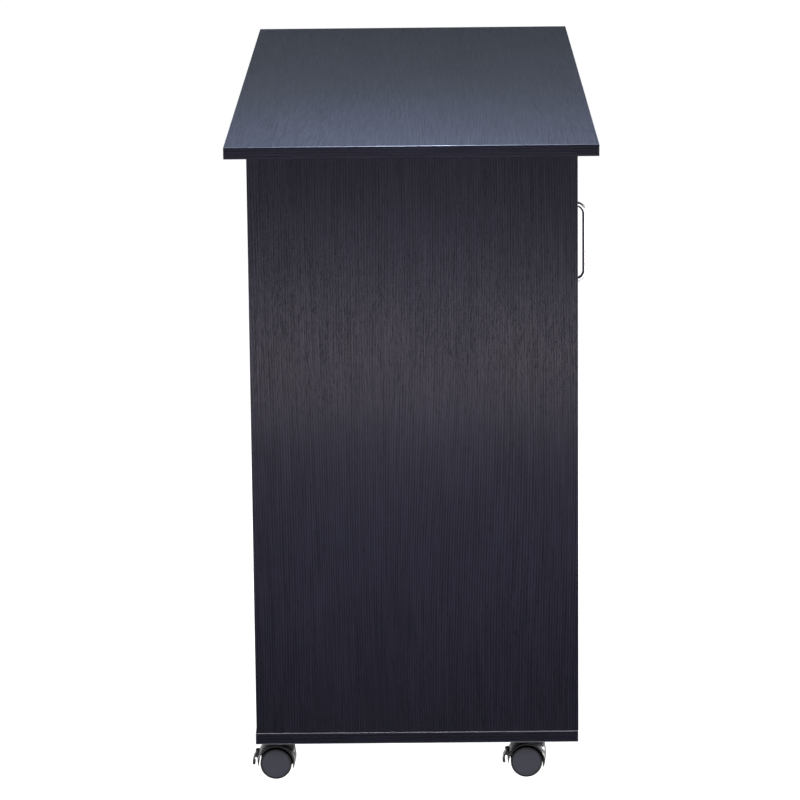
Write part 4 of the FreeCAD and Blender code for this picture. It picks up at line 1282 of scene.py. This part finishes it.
@dataclass(frozen=True)
class Caster:
    """A twin-wheel caster: a moulded hood and socket, two turned wheels and perhaps a brake.

    Places in it are from the middle of the axle: X along the axle, Y to the rear, Z up.
    """

    name: str
    lever: Lever | None = None
    hood_inner: float = 22.2 * MM
    hood_outer: float = 25.0 * MM
    hood_half_width: float = 20 * MM
    hood_end: float = 0.8 * MM
    shoulder: float = 1.5 * MM
    end_rounding: float = 0.6 * MM
    crown: float = 1.0 * MM
    taper_height: float = 14 * MM
    front_drop: float = 8 * MM
    rear_drop: float = 4 * MM
    web_half: float = 4 * MM
    web_tail: float = 9 * MM
    web_drop: float = 8 * MM
    web_fillet: float = 1.2 * MM
    socket_radius: float = 9.2 * MM
    socket_neck: float = 7.4 * MM
    socket_fillet: float = 2.2 * MM
    socket_taper: float = 9 * MM
    swell_height: float = 7.5 * MM
    swell_reach: float = 9 * MM
    taper_from: float = 2 * MM
    wheel_room: float = 7.1 * MM
    kingpin_bore: float = 4.05 * MM
    kingpin_depth: float = 20 * MM
    axle_bore: float = 2.55 * MM
    ear_radius: float = 3.2 * MM
    ear_end: float = 11.4 * MM
    ear_fillet: float = 0.8 * MM
    slot_radius: float = 4.6 * MM
    slot_half: float = 8.6 * MM
    pin_bore: float = 1.25 * MM
    pin_bore_end: float = 10.9 * MM
    cell: float = 0.45 * MM

    @property
    def axle(self) -> np.ndarray:
        """The middle of the axle."""
        return np.mean(corners_of(f"{self.name}_caster_wheels"), axis=0)

    def _joint_place(self, motion: str) -> np.ndarray:
        """The place of one of the caster's joints, from the axle."""
        joint = next(row for row in frame["joints"] if row["name"] == f"{self.name}_{motion}")
        return np.array(joint["pos_m"]) - self.axle

    def build(self) -> None:
        """Makes the caster's pieces and lets them stand for their nodes."""
        self._hood()
        CasterWheels(self.name, self.axle).build()
        if self.lever:
            surface = self.lever.surface().moved(self.axle + self._joint_place("brake_tilt"))
            piece = surface.piece(f"moulded_{self.name}_lever", HOOD_PLASTIC)
            stand_in(piece, f"{self.name}_brake_lever")
        Fitting(f"{self.name}_caster_axle", ZINC, 0.5 * MM).build()

    def _hood(self) -> bpy.types.Object:
        """The arch over the wheels, the web between them and the socket, as one moulding."""
        _, highest = corners_of(f"{self.name}_caster_hood")
        top = highest[2] - self.axle[2]
        trail = -self._joint_place("swivel")[1]

        def distance(x: np.ndarray, y: np.ndarray, z: np.ndarray) -> np.ndarray:
            """Arch, web and socket, joined with fillets, less the bores and the lever's slot.

            Args:
                x: places along the axle.
                y: places to the rear of it.
                z: places above it.

            Returns:
                The distance to the hood.
            """
            off = np.hypot(y, z)
            room = np.maximum(off - self.hood_inner, self.wheel_room - np.abs(x))
            solid = rounded_union(self._arch(x, y, z), self._web(x, y, z, trail), self.web_fillet)
            spread = np.hypot(x, y + trail)
            solid = rounded_union(solid, self._socket(spread, z, top), self.socket_fillet)
            solid = np.maximum(solid, -room)
            if self.lever:
                solid = self._cut_for_lever(solid, x, y, z)
            kingpin = np.maximum(spread - self.kingpin_bore, top - self.kingpin_depth - z)
            return np.maximum.reduce([solid, -kingpin, self.axle_bore - off, z - top])

        low = (-21 * MM, -trail - 11 * MM, -12 * MM)
        high = (21 * MM, 29 * MM, top + 1 * MM)
        surface = moulding(distance, low, high, self.cell).moved(self.axle)
        # The faces inside the arch take the near-black tread plastic: painted shade.
        piece = surface.piece(f"moulded_{self.name}_hood", HOOD_PLASTIC, TREAD_AND_PAINTED_SHADE_PLASTIC)
        offset = face_centres(piece) - self.axle
        set_finishes(piece, np.hypot(offset[:, 1], offset[:, 2]) < self.hood_inner + 0.2 * MM)
        return stand_in(piece, f"{self.name}_caster_hood")

    def _arch(self, x: np.ndarray, y: np.ndarray, z: np.ndarray) -> np.ndarray:
        """The arch: its wall thins towards its two ends, and its crown falls to the sides.

        Args:
            x: places along the axle.
            y: places to the rear of it.
            z: places above it.

        Returns:
            The distance to it.
        """
        off = np.hypot(y, z)
        drop = np.where(y > 0, self.rear_drop, self.front_drop)
        taper = np.clip((z + drop) / self.taper_height, 0, 1) ** 0.6
        outer = self.hood_outer - (self.hood_outer - self.hood_inner - self.hood_end) * (1 - taper)
        fall = self.crown * (np.abs(x) / self.hood_half_width) ** 3
        shell = rounded_cut(off - outer + fall, np.abs(x) - self.hood_half_width, self.shoulder)
        return rounded_cut(np.maximum(shell, self.hood_inner - off), -(z + drop), self.end_rounding)

    def _web(self, x: np.ndarray, y: np.ndarray, z: np.ndarray, trail: float) -> np.ndarray:
        """The web between the wheels, from the socket to a little behind the axle.

        Args:
            x: places along the axle.
            y: places to the rear of it.
            z: places above it.
            trail: how far the axle is behind the swivel axis.

        Returns:
            The distance to it.
        """
        return np.maximum.reduce([
            np.abs(x) - self.web_half,
            np.hypot(y, z) - (self.hood_inner + self.hood_outer) / 2,
            -y - trail,
            y - self.web_tail,
            -z - self.web_drop,
        ])

    def _socket(self, spread: np.ndarray, z: np.ndarray, top: float) -> np.ndarray:
        """The socket round the swivel pin: it swells in its middle and narrows below.

        Args:
            spread: distances from the swivel axis.
            z: places above the axle.
            top: the height of the socket's top above the axle.

        Returns:
            The distance to it.
        """
        swell = np.exp(-(((z - self.swell_height) / self.swell_reach) ** 2))
        below = np.clip((self.taper_from - z) / self.taper_height, 0, 1) ** 1.5
        radius = self.socket_neck + (self.socket_radius - self.socket_neck) * swell
        return np.maximum(spread - radius + self.socket_taper * below, z - top)

    def _cut_for_lever(
        self, solid: np.ndarray, x: np.ndarray, y: np.ndarray, z: np.ndarray
    ) -> np.ndarray:
        """Adds the two ears that hold the lever, and cuts the slot that it swings in.

        Args:
            solid: the distance to the hood without them.
            x: places along the axle.
            y: places to the rear of it.
            z: places above it.

        Returns:
            The distance to the hood with them.
        """
        _, pivot_y, pivot_z = self._joint_place("brake_tilt")
        off = np.hypot(y - pivot_y, z - pivot_z)
        wide = np.abs(x)
        ears = np.maximum.reduce([
            off - self.ear_radius,
            wide - self.ear_end,
            self.slot_half - wide,
            self.hood_inner - np.hypot(y, z),
        ])
        slot = np.maximum(off - self.slot_radius, wide - self.slot_half)
        bore = np.maximum(off - self.pin_bore, wide - self.pin_bore_end)
        return np.maximum.reduce([rounded_union(solid, ears, self.ear_fillet), -slot, -bore])


@dataclass(frozen=True)
class CasterWheels:
    """Two turned wheels: a rounded tread, and a disc with a step round it and a shallow dome."""

    name: str
    axle: np.ndarray
    inner: float = 7.5 * MM
    edge: float = 1.3 * MM
    boss_inner: float = 4.4 * MM
    boss_radius: float = 6 * MM
    step_depth: float = 0.45 * MM
    dome: float = 0.35 * MM
    disc_from: float = 12 * MM

    def build(self) -> bpy.types.Object:
        """Makes both wheels as one piece and lets it stand for their node."""
        low, high = corners_of(f"{self.name}_caster_wheels")
        radius = (high[2] - low[2]) / 2
        face = (high[0] - low[0]) / 2
        wheel = Surface.turning(self._profile(radius, face), Axis.X, 96)
        pair = Surface.joined([wheel, wheel.mirrored(Axis.X)]).moved(self.axle)
        piece = pair.piece(f"turned_{self.name}_wheels", TREAD_AND_PAINTED_SHADE_PLASTIC, DISC_PLASTIC, crease=28.0)
        offset = face_centres(piece) - self.axle
        within = np.hypot(offset[:, 1], offset[:, 2]) < radius - self.edge - 0.9 * MM
        set_finishes(piece, within & (np.abs(offset[:, 0]) > self.disc_from))
        return stand_in(piece, f"{self.name}_caster_wheels")

    def _profile(self, radius: float, face: float) -> np.ndarray:
        """A wheel's half section, from its boss to the middle of its disc.

        Args:
            radius: the wheel's radius.
            face: how far the disc's face is from the middle of the axle.

        Returns:
            Points of (along the axle, radius).
        """
        rim = radius - self.edge
        turn = np.linspace(0, math.pi / 2, 7)
        inner_edge = np.stack([
            self.inner + self.edge * (1 - np.cos(turn)), radius - self.edge * (1 - np.sin(turn))
        ], axis=1)
        outer_edge = np.stack([
            face - self.edge * (1 - np.sin(turn)), radius - self.edge * (1 - np.cos(turn))
        ], axis=1)
        step = np.array([
            (face, rim - 0.7 * MM),
            (face - self.step_depth, rim - 0.85 * MM),
            (face - self.step_depth, rim - 1.15 * MM),
            (face - 0.10 * MM, rim - 1.35 * MM),
        ])
        dome_radius = np.linspace(rim - 1.6 * MM, 0, 24)
        dip = self.dome * (dome_radius / rim) ** 2 * np.sin(math.pi * dome_radius / rim)
        dome = np.stack([face - dip, dome_radius], axis=1)
        boss = np.array([
            (self.boss_inner, 0.0),
            (self.boss_inner, self.boss_radius),
            (9.5 * MM, self.boss_radius + 0.3 * MM),
            (9.5 * MM, 16.4 * MM),
            (self.inner, 16.8 * MM),
        ])
        return np.concatenate([boss, inner_edge, outer_edge, step, dome])


# ------------------------------------------------------------------ studio


@dataclass(frozen=True)
class SoftBox:
    """A large square lamp, unseen itself."""

    name: str
    place: Point
    target: Point
    width: float
    height: float
    power: float
    tint: Colour = (1.0, 1.0, 1.0)
    spread: float = 180.0

    def build(self) -> None:
        """Adds the lamp; its spread is the angle, in degrees, that its light stays within."""
        data = bpy.data.lights.new(self.name, "AREA")
        data.shape = "RECTANGLE"
        data.size = self.width
        data.size_y = self.height
        data.energy = self.power
        data.color = self.tint
        data.spread = math.radians(self.spread)
        lamp = linked(self.name, data)
        lamp.location = self.place
        aim = Vector(self.target) - Vector(self.place)
        lamp.rotation_euler = aim.to_track_quat("-Z", "Y").to_euler()
        lamp.visible_camera = False


WARM: Colour = (1.0, 0.89, 0.88)
COOL: Colour = (0.68, 0.79, 1.0)


@dataclass(frozen=True)
class Studio:
    """The floor, the sky, the lamps and the camera."""

    floor_size: float = 60.0
    sky: Colour = (0.05, 0.05, 0.05)
    camera_place: Point = (-5.576, -0.017, 1.565)
    yaw: float = math.radians(0.39)
    pitch: float = math.radians(12.05)
    roll: float = math.radians(-0.6)
    lens: float = 185.1
    sensor: float = 36.0
    clip: tuple[float, float] = (0.1, 200.0)
    lamps: tuple[SoftBox, ...] = (
        SoftBox("end_strip", (-1.02, 0.0, 0.50), (-0.6, 0.0, 0.50), 1.3, 0.16, 10.4, WARM),
        SoftBox("end_strip_low", (-0.92, 0.0, 0.46), (-0.6, 0.0, 0.46), 1.0, 0.12, 3.0, WARM),
        SoftBox("end_box", (-3.2, 0.0, 0.45), (-0.6, 0.0, 0.5), 1.6, 0.5, 9.0),
        SoftBox("edge_strip", (-0.64, 0.0, 1.30), (-0.64, 0.0, 0.0), 0.4, 0.14, 13.0, COOL),
        SoftBox("far_box", (3.4, 0.0, 2.6), (0.0, 0.0, 0.8), 3.0, 1.2, 30.0, COOL),
        SoftBox("front_box", (0.7, -3.4, 0.45), (0.1, 0.0, 0.45), 2.4, 0.6, 70.0, spread=50.0),
        SoftBox("back_box", (0.7, 3.4, 0.45), (0.1, 0.0, 0.45), 2.4, 0.6, 50.0, spread=50.0),
    )

    def build(self) -> None:
        """Adds all of it to the scene."""
        self._floor()
        self._sky()
        self._camera()
        for lamp in self.lamps:
            lamp.build()
        bpy.context.scene.view_settings.view_transform = "Standard"

    def _floor(self) -> None:
        """A plain pale floor that runs past everything in view."""
        half = self.floor_size / 2
        mesh = bpy.data.meshes.new("studio_floor")
        corners = [(-half, -half, 0), (half, -half, 0), (half, half, 0), (-half, half, 0)]
        mesh.from_pydata(corners, [], [(0, 1, 2, 3)])
        mesh.materials.append(FLOOR.material())
        floor = linked("studio_floor", mesh)

    def _sky(self) -> None:
        """An even dim sky."""
        world = bpy.data.worlds.new("studio_sky")
        world.use_nodes = True
        background = world.node_tree.nodes["Background"]
        background.inputs["Color"].default_value = (*self.sky, 1.0)
        bpy.context.scene.world = world

    def _camera(self) -> None:
        """A long lens that looks at the end of the cart from a little above it."""
        forward = Vector((
            math.cos(self.yaw) * math.cos(self.pitch),
            math.sin(self.yaw) * math.cos(self.pitch),
            -math.sin(self.pitch),
        ))
        level = Vector((math.sin(self.yaw), -math.cos(self.yaw), 0.0))
        upright = level.cross(forward)
        right = level * math.cos(self.roll) + upright * math.sin(self.roll)
        up = upright * math.cos(self.roll) - level * math.sin(self.roll)
        data = bpy.data.cameras.new("studio_camera")
        data.sensor_width = self.sensor
        data.lens = self.lens
        data.clip_start, data.clip_end = self.clip
        camera = linked("studio_camera", data)
        turned = Matrix((right, up, -forward)).transposed().to_4x4()
        turned.translation = Vector(self.camera_place)
        camera.matrix_world = turned
        bpy.context.scene.camera = camera


# ------------------------------------------------------------------ the cart


def main() -> None:
    """Builds every piece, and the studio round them."""
    logging.basicConfig(level=logging.INFO, format="%(name)s: %(message)s")
    for board in BOARDS:
        board.build()
    WorktopEdging().build()
    for owner in ("door", "centre_drawer", "right_drawer"):
        Pull(f"{owner}_pull").build()
    for name in ("left_front", "left_rear", "right_front", "right_rear"):
        Caster(name, Lever() if name.startswith("left") else None).build()
    for fitting in FITTINGS:
        fitting.build()
    Studio().build()


if __name__ == "__main__":
    main()
